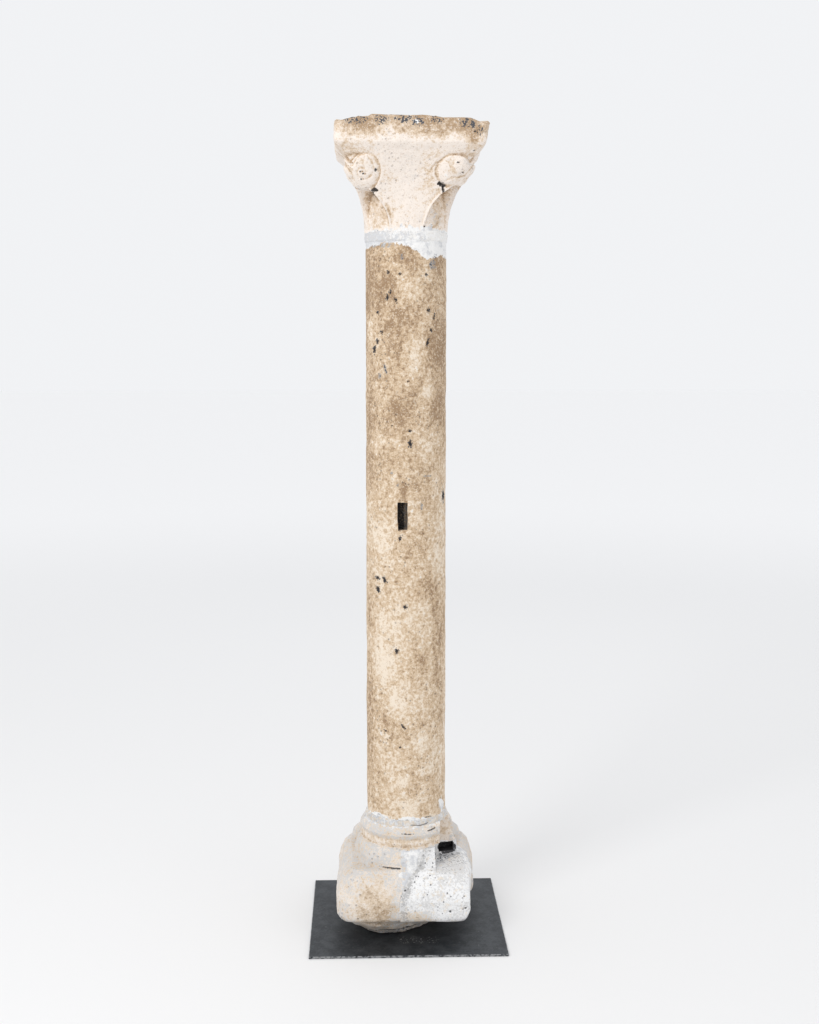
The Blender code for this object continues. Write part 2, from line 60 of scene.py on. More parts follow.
BODY = "root"
LOG = logging.getLogger("column")

# Heights above the floor, in metres, where one piece ends and the next starts
BASE_FOOT = 0.0053
SHAFT_FOOT = 0.2679
SHAFT_TOP = 1.6429
CAPITAL_FOOT = 1.6615
CAPITAL_TOP = 1.923

# Directions round the upright axis, from +X
QUARTER = math.pi / 2
EIGHTH = math.pi / 4
FRONT = -QUARTER
FRONT_RIGHT = -EIGHTH
FRONT_LEFT = EIGHTH - math.pi
BACK_RIGHT = EIGHTH

# Edges sharper than this many degrees stay sharp
SHARP = 60.0


class Cut(Enum):
    """What a block does to the stone that it meets."""

    AWAY = "DIFFERENCE"
    KEEP = "INTERSECT"


# ---- numbers over many points ----


def smooth_step(low: float, high: float, value: np.ndarray) -> np.ndarray:
    """Rises smoothly from 0 at low to 1 at high.

    Args:
        low: where the rise starts.
        high: where the rise ends.
        value: the numbers to judge.

    Returns:
        A share from 0 to 1 for each number.
    """
    share = np.clip((value - low) / (high - low), 0.0, 1.0)
    return share * share * (3 - 2 * share)


def hill(value: np.ndarray, width: float) -> np.ndarray:
    """Returns 1 where the value is 0, falling smoothly to 0 at a width on either side."""
    return 1 - smooth_step(0.0, width, np.abs(value))


def turned_by(angle: np.ndarray, other: float) -> np.ndarray:
    """Returns the smallest turn between each angle and another one, without its sign."""
    return np.abs((angle - other + math.pi) % (2 * math.pi) - math.pi)


def from_face(angle: np.ndarray) -> np.ndarray:
    """Returns the turn from the middle of the nearest of the four faces."""
    return np.abs((angle + EIGHTH) % QUARTER - EIGHTH)


def rounded_square(half: np.ndarray, corner: np.ndarray, angle: np.ndarray) -> np.ndarray:
    """Measures a square with round corners from its centre.

    Args:
        half: half of its side.
        corner: the radius of its corners.
        angle: the direction of each point.

    Returns:
        The distance to its edge in each direction.
    """
    across, along = np.cos(from_face(angle)), np.sin(from_face(angle))
    inner = half - np.minimum(corner, half)
    toward = inner * (across + along)
    bend = np.maximum(0.0, toward**2 - 2 * inner**2 + np.minimum(corner, half) ** 2)
    straight = half / across
    return np.where(straight * along <= inner, straight, toward + np.sqrt(bend))


def super_square(half: np.ndarray, power: np.ndarray, angle: np.ndarray) -> np.ndarray:
    """Measures a squared circle: power 2 is round, and a high power is square.

    Args:
        half: half of its width.
        power: how square it is.
        angle: the direction of each point.

    Returns:
        The distance to its edge in each direction.
    """
    turn = from_face(angle)
    return half * (np.cos(turn) ** power + np.sin(turn) ** power) ** (-1 / power)


def placed(radius: np.ndarray, angle: np.ndarray, height: np.ndarray) -> np.ndarray:
    """Returns the points, one row each, at a distance from the upright axis in each direction."""
    return np.stack([radius * np.cos(angle), radius * np.sin(angle), height], axis=1)


def slow_wave(angle: np.ndarray, height: np.ndarray) -> np.ndarray:
    """Returns the slow, uneven wave of wear, from about -1 to 1."""
    wave = np.sin(3 * angle + 31 * height) + 0.7 * np.sin(5 * angle - 47 * height + 1.3)
    return 0.5 * (wave + 0.5 * np.sin(9 * angle + 83 * height + 0.4))


@dataclass(frozen=True)
class Weather:
    """Seeded noise in space, which wears and stains the stones."""

    seed: int

    def draw(self, cell: np.ndarray, salt: int) -> np.ndarray:
        """Draws a fixed random number for each cell.

        Args:
            cell: whole numbers, three for each cell.
            salt: tells one draw from another.

        Returns:
            A number from 0 to 1 for each cell.
        """
        mix = cell[:, 0] * 374761393 + cell[:, 1] * 668265263 + cell[:, 2] * 974711
        mix = (mix + (self.seed * 97 + salt) * 362437) & 0xFFFFFFFF
        mix = ((mix ^ (mix >> 13)) * 1274126177) & 0xFFFFFFFF
        mix = ((mix ^ (mix >> 15)) * 741103597) & 0xFFFFFFFF
        return (mix ^ (mix >> 16)) / 4294967295.0

    def soft(self, points: np.ndarray, grain: float, salt: int = 0) -> np.ndarray:
        """Makes smooth noise.

        Args:
            points: where it is wanted.
            grain: the size of its lumps in metres.
            salt: tells one noise from another.

        Returns:
            A number from -1 to 1 for each point.
        """
        scaled = points / grain
        low = np.floor(scaled).astype(np.int64)
        part = scaled - low
        part = part * part * (3 - 2 * part)
        total = np.zeros(len(points))
        for corner in range(8):
            bit = np.array([corner & 1, corner >> 1 & 1, corner >> 2])
            weight = np.prod(np.where(bit, part, 1 - part), axis=1)
            total += weight * self.draw(low + bit, salt)
        return 2 * total - 1

    def layers(self, points: np.ndarray, grain: float, count: int, salt: int = 0) -> np.ndarray:
        """Adds up finer and finer noise.

        Args:
            points: where it is wanted.
            grain: the size of the coarsest lumps.
            count: how many layers there are.
            salt: tells one noise from another.

        Returns:
            A number from about -1 to 1 for each point.
        """
        total = np.zeros(len(points))
        for step in range(count):
            total += 0.55**step * self.soft(points, grain / 2**step, salt + step)
        return total

    def pits(self, points: np.ndarray, grain: float, kept: float, size: float, salt: int) -> np.ndarray:
        """Scatters round pits in space.

        Args:
            points: the surface that they cut.
            grain: the mean distance between two places for a pit.
            kept: the share of the places that has one.
            size: the largest radius, as a share of the grain.
            salt: tells one scatter from another.

        Returns:
            How deep each point is in a pit, from 0 to 1.
        """
        scaled = points / grain
        low = np.floor(scaled).astype(np.int64)
        deepest = np.zeros(len(points))
        for shift in range(27):
            home = low + np.array([shift % 3 - 1, shift // 3 % 3 - 1, shift // 9 - 1])
            centre = home + np.stack([self.draw(home, salt + k) for k in (1, 2, 3)], axis=1)
            radius = size * (0.35 + 0.65 * self.draw(home, salt + 4) ** 2)
            away = np.linalg.norm(scaled - centre, axis=1)
            depth = smooth_step(0.0, 0.6, 1 - away / radius)
            deepest = np.maximum(deepest, np.where(self.draw(home, salt + 5) < kept, depth, 0.0))
        return deepest


@dataclass(frozen=True)
class Pitting:
    """Scattered pits in a stone: small ones in crowds, and a few large ones.

    The crowds are given by their size and by where their noise starts and ends. Each kind of pit is
    given by its grain, the share that is kept and its size. A rise makes the crowds denser upwards.
    """

    seed: int
    crowd: tuple[float, float, float]
    small: tuple[float, float, float]
    large: tuple[float, float, float]
    rise: float = 0.0
    level: float = 1.1

    def depth(self, points: np.ndarray) -> np.ndarray:
        """Works out how deep each point is in a pit.

        Args:
            points: the surface that the pits cut.

        Returns:
            A number from 0 to 1 for each point.
        """
        weather = Weather(self.seed)
        grain, low, high = self.crowd
        crowd = weather.soft(points, grain, 3) + self.rise * (points[:, 2] - self.level)
        small = weather.pits(points, *self.small, 100) * smooth_step(low, high, crowd)
        return np.maximum(small, weather.pits(points, *self.large, 200))


# ---- meshes ----


@dataclass(frozen=True)
class Spot:
    """A mark at one place of the front: a pit, a chip or a patch of colour."""

    across: float
    height: float
    wide: float
    tall: float = 0.0
    lean: float = 0.0

    def share(self, points: np.ndarray, grow: float = 1.0) -> np.ndarray:
        """Says how far each point is inside the mark.

        Args:
            points: points on the stone; those at the back are left out.
            grow: how many times as large the mark is taken.

        Returns:
            1 in the middle of the mark, 0 outside it.
        """
        across = points[:, 0] - self.across
        up = points[:, 2] - self.height
        turned = across + self.lean * up
        away = np.hypot(turned / self.wide, up / (self.tall or self.wide)) / grow
        return np.where(points[:, 1] < 0.02, 1 - smooth_step(0.25, 1.0, away), 0.0)


def marks(*rows: tuple[float, ...]) -> tuple[Spot, ...]:
    """Makes a mark of each row of across, height, wide, and tall and lean where they are given."""
    return tuple(Spot(*row) for row in rows)


def spots(found: tuple[Spot, ...], points: np.ndarray, grow: float = 1.0) -> np.ndarray:
    """Returns the strongest share that any of the marks has at each point."""
    return np.maximum.reduce([mark.share(points, grow) for mark in found])


def places(piece: bpy.types.Object) -> np.ndarray:
    """Returns the places of a piece's vertices, one row each.

    Args:
        piece: the piece.

    Returns:
        The places.
    """
    found = np.empty(len(piece.data.vertices) * 3, dtype=np.float32)
    piece.data.vertices.foreach_get("co", found)
    return found.reshape(-1, 3).astype(np.float64)


def move_to(piece: bpy.types.Object, points: np.ndarray) -> None:
    """Moves a piece's vertices to new places, one row each."""
    piece.data.vertices.foreach_set("co", points.astype(np.float32).ravel())
    piece.data.update()


def only(piece: bpy.types.Object) -> None:
    """Makes a piece the only selected object, and the active one.

    Args:
        piece: the piece.
    """
    bpy.ops.object.select_all(action="DESELECT")
    piece.select_set(True)
    bpy.context.view_layer.objects.active = piece


def hollows(piece: bpy.types.Object, rounds: int) -> np.ndarray:
    """Finds the hollows and the ridges of a piece.

    Args:
        piece: the piece to judge.
        rounds: how often its places are smoothed, which sets how wide a hollow it finds.

    Returns:
        How far each vertex lies below its smoothed neighbours, in metres; less than 0 on a ridge.
    """
    points = places(piece)
    ends = np.empty(len(piece.data.edges) * 2, dtype=np.int32)
    piece.data.edges.foreach_get("vertices", ends)
    ends = ends.reshape(-1, 2)
    normals = np.empty(len(points) * 3, dtype=np.float32)
    piece.data.vertices.foreach_get("normal", normals)
    near = np.bincount(ends.ravel(), minlength=len(points)).astype(np.float64)
    near = np.maximum(near, 1.0)
    soft = points.copy()
    for __ in range(rounds):
        for axis in range(3):
            total = np.bincount(ends[:, 0], soft[ends[:, 1], axis], len(points))
            total += np.bincount(ends[:, 1], soft[ends[:, 0], axis], len(points))
            soft[:, axis] = total / near
    return np.sum((soft - points) * normals.reshape(-1, 3), axis=1)


@dataclass(frozen=True)
class Stroke:
    """A carved line on the front, through a row of places given as across and height."""

    path: tuple[tuple[float, float], ...]
    wide: float

    def share(self, across: np.ndarray, height: np.ndarray) -> np.ndarray:
        """Returns 1 in the middle of the line, and 0 beyond its width.

        Args:
            across: how far each point lies to the right.
            height: its height above the floor.

        Returns:
            A share from 0 to 1 for each point.
        """
        nearest = np.full(len(across), 1.0)
        for (x0, z0), (x1, z1) in zip(self.path, self.path[1:]):
            run, rise = x1 - x0, z1 - z0
            share = np.clip(((across - x0) * run + (height - z0) * rise) / (run**2 + rise**2), 0.0, 1.0)
            nearest = np.minimum(nearest, np.hypot(across - x0 - share * run, height - z0 - share * rise))
        return hill(nearest, self.wide)


@dataclass(frozen=True)
class Sheet:
    """A flat grid of faces that is rolled round the upright axis into a closed skin."""

    name: str
    columns: int
    rows: int

    def roll(self, shape: Callable[[np.ndarray, np.ndarray], np.ndarray]) -> bpy.types.Object:
        """Adds the grid, rolls it into its shape, and closes its seam and both ends.

        Args:
            shape: gives the points for a share round the axis and a share along the skin, which
                starts and ends on the axis.

        Returns:
            The closed piece.
        """
        bpy.ops.object.select_all(action="DESELECT")
        bpy.ops.mesh.primitive_grid_add(
            x_subdivisions=self.columns, y_subdivisions=self.rows, size=1.0, location=(0, 0, 0)
        )
        piece = bpy.context.view_layer.objects.active
        piece.name = piece.data.name = self.name
        flat = places(piece)
        points = shape((flat[:, 0] + 0.5) % 1.0, flat[:, 1] + 0.5)
        move_to(piece, points)
        bpy.ops.object.mode_set(mode="EDIT")
        bpy.ops.mesh.select_all(action="SELECT")
        bpy.ops.mesh.remove_doubles(threshold=2e-6)
        bpy.ops.mesh.normals_make_consistent(inside=False)
        bpy.ops.object.mode_set(mode="OBJECT")
        return piece


def climb(along: np.ndarray, rows: int, ends: float) -> tuple[np.ndarray, np.ndarray]:
    """Follows a drum's skin from the middle of its foot, up its side, to the middle of its head.

    Args:
        along: shares along the skin.
        rows: how many rows of faces the skin has.
        ends: how many of them close each end.

    Returns:
        The share of its height, and the share of its radius, at each point.
    """
    row = np.rint(along * rows)
    up = np.clip((row - ends) / (rows - 2 * ends), 0.0, 1.0)
    return up, np.minimum(1.0, np.minimum(row, rows - row) / ends)


@dataclass(frozen=True)
class RoughBlock:
    """A block with rough faces, which cuts a stone or a hole in it."""

    name: str
    low: tuple[float, float, float]
    high: tuple[float, float, float]
    grain: float
    rough: float
    seed: int
    turn: float = 0.0
    pivot: tuple[float, float] = (0.0, 0.0)
    slant: float = 0.0

    def build(self, grow: float = 0.0) -> bpy.types.Object:
        """Adds the block, divides its faces and roughens them.

        Args:
            grow: how much farther out every face stands.

        Returns:
            The closed block.
        """
        low = np.array(self.low) - grow
        high = np.array(self.high) + grow
        bpy.ops.object.select_all(action="DESELECT")
        bpy.ops.mesh.primitive_cube_add(size=1.0, location=(0, 0, 0))
        block = bpy.context.view_layer.objects.active
        block.name = self.name
        cuts = min(60, int(max(high - low) / self.grain))
        bpy.ops.object.mode_set(mode="EDIT")
        bpy.ops.mesh.select_all(action="SELECT")
        bpy.ops.mesh.subdivide(number_cuts=cuts)
        bpy.ops.object.mode_set(mode="OBJECT")
        points = low + (places(block) + 0.5) * (high - low)
        weather = Weather(self.seed)
        for axis in range(3):
            push = weather.layers(points, self.grain * 5, 3, 10 * axis)
            points[:, axis] += self.rough * push
        points[:, 2] += self.slant * (points[:, 0] - self.low[0])
        cosine, sine = math.cos(self.turn), math.sin(self.turn)
        x, y = points[:, 0].copy(), points[:, 1].copy()
        points[:, 0] = self.pivot[0] + cosine * x - sine * y
        points[:, 1] = self.pivot[1] + sine * x + cosine * y
        move_to(block, points)
        return block


def cut(piece: bpy.types.Object, block: bpy.types.Object, how: Cut) -> None:
    """Cuts a piece with a block, or keeps only what they share, and removes the block.

    Args:
        piece: the stone.
        block: what cuts it.
        how: what the block does.
    """
    only(piece)
    change = piece.modifiers.new(block.name, "BOOLEAN")
    change.operation = how.value
    change.solver = "MANIFOLD"
    change.object = block
    bpy.ops.object.modifier_apply(modifier=change.name)
    bpy.data.objects.remove(block)


def smooth(piece: bpy.types.Object) -> None:
    """Shades a piece smooth, but for its sharp edges."""
    only(piece)
    bpy.ops.object.shade_smooth_by_angle(angle=math.radians(SHARP))


def keep_share(piece: bpy.types.Object, name: str, share: np.ndarray) -> None:
    """Keeps a named number for each vertex on the piece, for its finish to read."""
    layer = piece.data.attributes.new(name, "FLOAT", "POINT")
    layer.data.foreach_set("value", share.astype(np.float32))


def stand_in(piece: bpy.types.Object, node: str, finish: bpy.types.Material) -> None:
    """Puts a finished piece in the place of its node, on the column's body, with its finish.

    Args:
        piece: the finished piece.
        node: the node that it replaces.
        finish: its material.
    """
    piece.data.materials.clear()
    piece.data.materials.append(finish)
    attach(piece, BODY)
    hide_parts(node)
    faces = sum(len(face.vertices) - 2 for face in piece.data.polygons)
    LOG.info("%s: %d triangles in place of %s", piece.name, faces, node)


# ---- finishes ----


class Wire:
    """A socket that can be used in sums, each of which adds a Math node."""

    def __init__(self, desk: "Desk", socket: bpy.types.NodeSocket) -> None:
        """Wraps a socket of the desk's node tree."""
        self.desk = desk
        self.socket = socket

    def _sum(self, kind: str, first: "Wire | float", second: "Wire | float") -> "Wire":
        """Adds one Math node for two values."""
        return self.desk.add("ShaderNodeMath", {"operation": kind}, {0: first, 1: second})

    def __add__(self, other: "Wire | float") -> "Wire":
        """Adds two values."""
        return self._sum("ADD", self, other)

    __radd__ = __add__

    def __mul__(self, other: "Wire | float") -> "Wire":
        """Multiplies two values."""
        return self._sum("MULTIPLY", self, other)

    __rmul__ = __mul__

    def __sub__(self, other: "Wire | float") -> "Wire":
        """Takes the other value away."""
        return self._sum("SUBTRACT", self, other)

    def __rsub__(self, other: float) -> "Wire":
        """Takes this value away from a number."""
        return self._sum("SUBTRACT", other, self)

    def at_least(self, other: "Wire | float") -> "Wire":
        """Returns the higher of two values."""
        return self._sum("MAXIMUM", self, other)

    def step(self, low: float, high: float) -> "Wire":
        """Rises smoothly from 0 to 1 between two values."""
        settings = {"interpolation_type": "SMOOTHSTEP"}
        return self.desk.add("ShaderNodeMapRange", settings, {"Value": self, 1: low, 2: high})


CHALK = (0.84, 0.835, 0.825)
GREY_CHALK = (0.60, 0.61, 0.63)
SOOT_AND_SHADE = (0.050, 0.058, 0.075)
# Near black, painted for the shade inside holes, pits and cracks
HOLE_SHADE = (0.030, 0.029, 0.032)
PORE = (0.16, 0.13, 0.11)
AIR_HOLE_SHADE = (0.12, 0.12, 0.12)
WARM_SMEAR = (0.76, 0.66, 0.53)
STONE_SMEAR = (0.70, 0.58, 0.44)
DIRT_AND_SHADE = (0.42, 0.415, 0.41)
EARTH = (0.64, 0.54, 0.42)
SAND = (0.42, 0.36, 0.29)
DUST = (0.42, 0.41, 0.39)
CRUMBS = (0.60, 0.58, 0.56)
BARE_STEEL_AND_HIGHLIGHT = (0.36, 0.365, 0.37)


class Desk:
    """The node tree of one finish, where its nodes are laid out and joined."""

    def __init__(self, name: str) -> None:
        """Starts a material with a Principled shader.

        Args:
            name: what the material is called.
        """
        self.material = bpy.data.materials.new(name)
        self.material.use_nodes = True
        self.tree = self.material.node_tree
        self.shader = self.tree.nodes["Principled BSDF"]
        self.place = self.add("ShaderNodeTexCoord", {}, {}, "Object")

    def add(self, kind: str, settings: dict, values: dict, output: str | int = 0) -> Wire:
        """Adds a node.

        Args:
            kind: the node's type.
            settings: its properties, set first.
            values: what goes into its sockets, by name or number: a wire, a number or a colour.
            output: the socket that is wanted from it.

        Returns:
            The wire from that socket.
        """
        node = self.tree.nodes.new(kind)
        for name, value in settings.items():
            setattr(node, name, value)
        for name, value in values.items():
            self.join(value, node.inputs[name])
        return Wire(self, node.outputs[output])

    def join(self, value: "Wire | float | tuple", socket: bpy.types.NodeSocket) -> None:
        """Links a wire to a socket, or sets the socket to a number or a colour.

        Args:
            value: the wire, number or colour.
            socket: where it goes.
        """
        if isinstance(value, Wire):
            self.tree.links.new(value.socket, socket)
        elif isinstance(value, tuple) and len(value) == 3 and socket.type == "RGBA":
            socket.default_value = (*value, 1.0)
        else:
            socket.default_value = value

    def noise(
        self, size: float, detail: float = 3.0, rough: float = 0.6, shift: float = 0.0, tall: float = 1.0
    ) -> Wire:
        """Adds noise.

        Args:
            size: the size of its lumps in metres.
            detail: how many finer layers it has.
            rough: how strong they are.
            shift: how far it is moved, which tells one noise from another.
            tall: how many times as tall as wide its lumps are.

        Returns:
            The noise, from 0 to 1.
        """
        sockets = {"Vector": self.place, "Location": (shift, shift, 0), "Scale": (1, 1, 1 / tall)}
        place = self.add("ShaderNodeMapping", {}, sockets)
        values = {"Vector": place, "Scale": 1 / size, "Detail": detail, "Roughness": rough}
        return self.add("ShaderNodeTexNoise", {}, values)

    def grains(self, size: float, shift: float = 0.0) -> Wire:
        """Adds the distance to the nearest of many scattered grains, a size apart."""
        place = self.add("ShaderNodeMapping", {}, {"Vector": self.place, "Location": (shift, 0, shift)})
        return self.add("ShaderNodeTexVoronoi", {}, {"Vector": place, "Scale": 1 / size}, "Distance")

    def share(self, name: str) -> Wire:
        """Reads a share that the mesh keeps."""
        return self.add("ShaderNodeAttribute", {"attribute_name": name}, {}, "Fac")

    def mix(self, much: "Wire | float", first: "Wire | tuple", second: "Wire | tuple") -> Wire:
        """Mixes two colours by a share.

        Args:
            much: the share of the second colour.
            first: the colour at 0.
            second: the colour at 1.

        Returns:
            The wire of the mixed colour.
        """
        node = self.tree.nodes.new("ShaderNodeMix")
        node.data_type = "RGBA"
        self.join(much, node.inputs[0])
        self.join(first, node.inputs[6])
        self.join(second, node.inputs[7])
        return Wire(self, node.outputs[2])

    def finish(self, colour: Wire, rough: "Wire | float", height: Wire, depth: float) -> bpy.types.Material:
        """Joins the colour, the roughness and the relief to the shader.

        Args:
            colour: the base colour.
            rough: the roughness.
            height: the relief, from 0 to 1.
            depth: how deep the relief is, in metres.

        Returns:
            The material.
        """
        values = {"Height": height, "Distance": depth, "Strength": 1.0}
        normal = self.add("ShaderNodeBump", {}, values, "Normal")
        self.join(colour, self.shader.inputs["Base Color"])
        self.join(rough, self.shader.inputs["Roughness"])
        self.join(normal, self.shader.inputs["Normal"])
        return self.material


@dataclass(frozen=True)
class Limestone:
    """Weathered limestone: mottled cream, tan and brown, with pores, lime and soot, and painted shade in its
    pits, holes and hollows and under the base.
    """

    name: str
    cream: tuple[float, float, float]
    tan: tuple[float, float, float]
    brown: tuple[float, float, float]
    dust: tuple[float, float, float]
    drawn: float = 1.0
    pores: float = 0.5

    def make(self) -> bpy.types.Material:
        """Lays out the finish.

        Returns:
            The material.
        """
        desk = Desk(self.name)
        broad = desk.noise(0.080, 4.0, 0.65, 0.0, self.drawn)
        patch = desk.noise(0.026, 5.0, 0.75, 3.1, self.drawn)
        fine = desk.noise(0.0085, 3.0, 0.75, 1.7)
        speck = desk.noise(0.0038, 2.0, 0.6, 7.3)
        warm = (broad - 0.5) * 0.9 + (patch - 0.5) * 1.3 + (fine - 0.5) * 2.5
        # The tone share also carries painted shade and light: darker in hollows, sunk panels and at the sides
        # of the front, lighter on ridges
        warm = warm + desk.share("tone") * 0.6
        colour = desk.mix(warm.step(-0.12, 0.46), self.tan, self.cream)
        colour = desk.mix((0 - warm).step(0.02, 0.72), colour, self.brown)
        colour = desk.mix(speck.step(0.54, 0.66) * 0.55, colour, self.cream)
        colour = desk.mix((1 - speck).step(0.57, 0.70) * 0.42, colour, self.brown)
        pore = (1 - desk.grains(0.011, 2.0)).step(0.74, 0.90) * desk.noise(0.05, 2.0).step(0.48, 0.60)
        colour = desk.mix(pore * self.pores, colour, PORE)
        grey = desk.share("grey") * ((patch - 0.5) * 1.6 + (fine - 0.5) * 4.0 + (speck - 0.5) * 3.0 + 0.6)
        colour = desk.mix(grey.step(0.10, 0.70) * 0.8, colour, self.dust)
        lime = desk.share("lime") + (fine - 0.5) * 2.0 + (patch - 0.5) * 1.4
        white = desk.noise(0.016, 4.0, 0.7, 5.0) - desk.share("grey") * 0.12
        chalk = desk.mix(white.step(0.32, 0.54), GREY_CHALK, CHALK)
        colour = desk.mix(lime.step(0.36, 0.62), colour, chalk)
        # The soot share also carries painted shade on the base's underside
        soot = desk.share("soot") * ((fine - 0.5) * 3.6 + (speck - 0.5) * 4.6 + 0.38)
        colour = desk.mix(soot.step(0.38, 0.50) * 0.95, colour, SOOT_AND_SHADE)
        # The dark share is mostly painted shade: near black in pits, holes, the mortise and the drilled
        # marks, and along cracks
        dark = desk.share("dark") * (1 + (speck - 0.5) * 2.5)
        colour = desk.mix(dark.step(0.20, 0.70) * 0.95, colour, HOLE_SHADE)
        relief = fine * 0.6 + patch * 0.25 + speck * 0.35 - pore * 0.6
        return desk.finish(colour, 0.9 - lime.step(0.4, 0.7) * 0.06, relief, 0.0022)


@dataclass(frozen=True)
class Mortar:
    """Rough lime mortar, white to grey, with sand grains."""

    name: str
    light: tuple[float, float, float]
    dark: tuple[float, float, float]
    stained: float

    def make(self) -> bpy.types.Material:
        """Lays out the finish.

        Returns:
            The material.
        """
        desk = Desk(self.name)
        patch = desk.noise(0.020, 4.0, 0.7)
        fine = desk.noise(0.004, 3.0, 0.6, 2.0)
        much = (patch - 0.5) * 2.2 + (fine - 0.5) * 2.0 + desk.share("tone")
        colour = desk.mix(much.step(-0.35, 0.35), self.dark, self.light)
        sand = (1 - desk.grains(0.004)).step(0.78, 0.95) * 0.35
        stain = desk.noise(0.009, 4.0, 0.75, 6.0).step(0.45, 0.58) * self.stained
        colour = desk.mix(stain, colour, EARTH)
        colour = desk.mix(sand, colour, SAND)
        colour = desk.mix(desk.share("dark").step(0.3, 0.9) * 0.85, colour, HOLE_SHADE)
        return desk.finish(colour, 0.95, fine * 0.6 + patch * 0.4, 0.0014)


@dataclass(frozen=True)
class Plaster:
    """White repair plaster with dark air pits, painted for the shade inside them, tool smears, and a little
    grey that is partly dirt and partly painted shade.
    """

    name: str
    white: tuple[float, float, float]
    shade: tuple[float, float, float]

    def make(self) -> bpy.types.Material:
        """Lays out the finish.

        Returns:
            The material.
        """
        desk = Desk(self.name)
        broad = desk.noise(0.045, 4.0, 0.6)
        fine = desk.noise(0.005, 3.0, 0.6, 4.0)
        mottled = (broad - 0.5) * 0.8 + (fine - 0.5) * 1.2 + 0.5
        colour = desk.mix(mottled.step(0.36, 0.54), self.shade, self.white)
        warm = desk.noise(0.012, 3.0, 0.7, 12.0)
        colour = desk.mix(warm.step(0.55, 0.66) * 0.55, colour, WARM_SMEAR)
        # Painted shade: air pits darkened for the shade inside them
        hole = (1 - desk.grains(0.010, 6.0)).step(0.76, 0.88)
        hole = hole * desk.noise(0.04, 1.0, 0.5, 9.0).step(0.42, 0.56)
        colour = desk.mix(hole * 0.85, colour, AIR_HOLE_SHADE)
        stone = desk.share("stone") * ((fine - 0.5) * 4.0 + (broad - 0.5) * 2.0 + 0.5)
        colour = desk.mix(stone.step(0.25, 0.50) * 0.85, colour, STONE_SMEAR)
        # The grey share is partly dirt, and on the corner's underside painted shade
        grey = desk.share("grey") + (fine - 0.5) * 2.4 + (broad - 0.5) * 1.2
        colour = desk.mix(grey.step(0.30, 0.75) * 0.85, colour, DIRT_AND_SHADE)
        # Painted shade: near black in the deeper air pits
        colour = desk.mix(desk.share("dark").step(0.25, 0.85) * 0.95, colour, HOLE_SHADE)
        return desk.finish(colour, 0.92, broad * 0.5 + fine * 0.4 - hole * 0.8, 0.0015)


@dataclass(frozen=True)
class Steel:
    """Blackened, waxed plate steel with faint mill scale, dust, and lighter edges: partly worn bare, partly a
    painted highlight.
    """

    name: str
    dark: tuple[float, float, float]
    light: tuple[float, float, float]
    half: float

    def far(self, desk: Desk, place: Wire) -> Wire:
        """Returns how far each point lies from the plate's middle, on either side."""
        return desk.add("ShaderNodeMath", {"operation": "ABSOLUTE"}, {0: place})

    def make(self) -> bpy.types.Material:
        """Lays out the finish.

        Returns:
            The material.
        """
        desk = Desk(self.name)
        scale = desk.noise(0.035, 5.0, 0.7)
        streak = desk.noise(0.006, 3.0, 0.6, 2.5)
        colour = desk.mix((scale * 0.7 + streak * 0.3).step(0.38, 0.64), self.dark, self.light)
        dust = desk.noise(0.0022, 2.0, 0.5, 8.0).step(0.66, 0.74) * desk.noise(0.03, 2.0).step(0.45, 0.6)
        colour = desk.mix(dust * 0.5, colour, DUST)
        x = desk.add("ShaderNodeSeparateXYZ", {}, {"Vector": desk.place}, "X")
        y = desk.add("ShaderNodeSeparateXYZ", {}, {"Vector": desk.place}, "Y")
        strip = x.step(-0.030, -0.010) * (1 - x.step(0.050, 0.080))
        strip = strip * (y.step(-0.168, -0.155) * (1 - y.step(-0.140, -0.120)))
        crumbs = desk.noise(0.006, 3.0, 0.7, 5.0).step(0.56, 0.64) * strip
        colour = desk.mix(crumbs * 0.8, colour, CRUMBS)
        # Lighter along the plate's edges: partly worn bare steel, partly a painted highlight
        across = self.far(desk, x).at_least(self.far(desk, y))
        rubbed_and_lit = across.step(self.half - 0.0022, self.half - 0.0004) * streak.step(0.40, 0.55)
        colour = desk.mix(rubbed_and_lit * 0.8, colour, BARE_STEEL_AND_HIGHLIGHT)
        desk.join(0.75, desk.shader.inputs["Metallic"])
        return desk.finish(colour, 0.42 + scale * 0.22, streak, 0.0002)


# ---- the stones ----


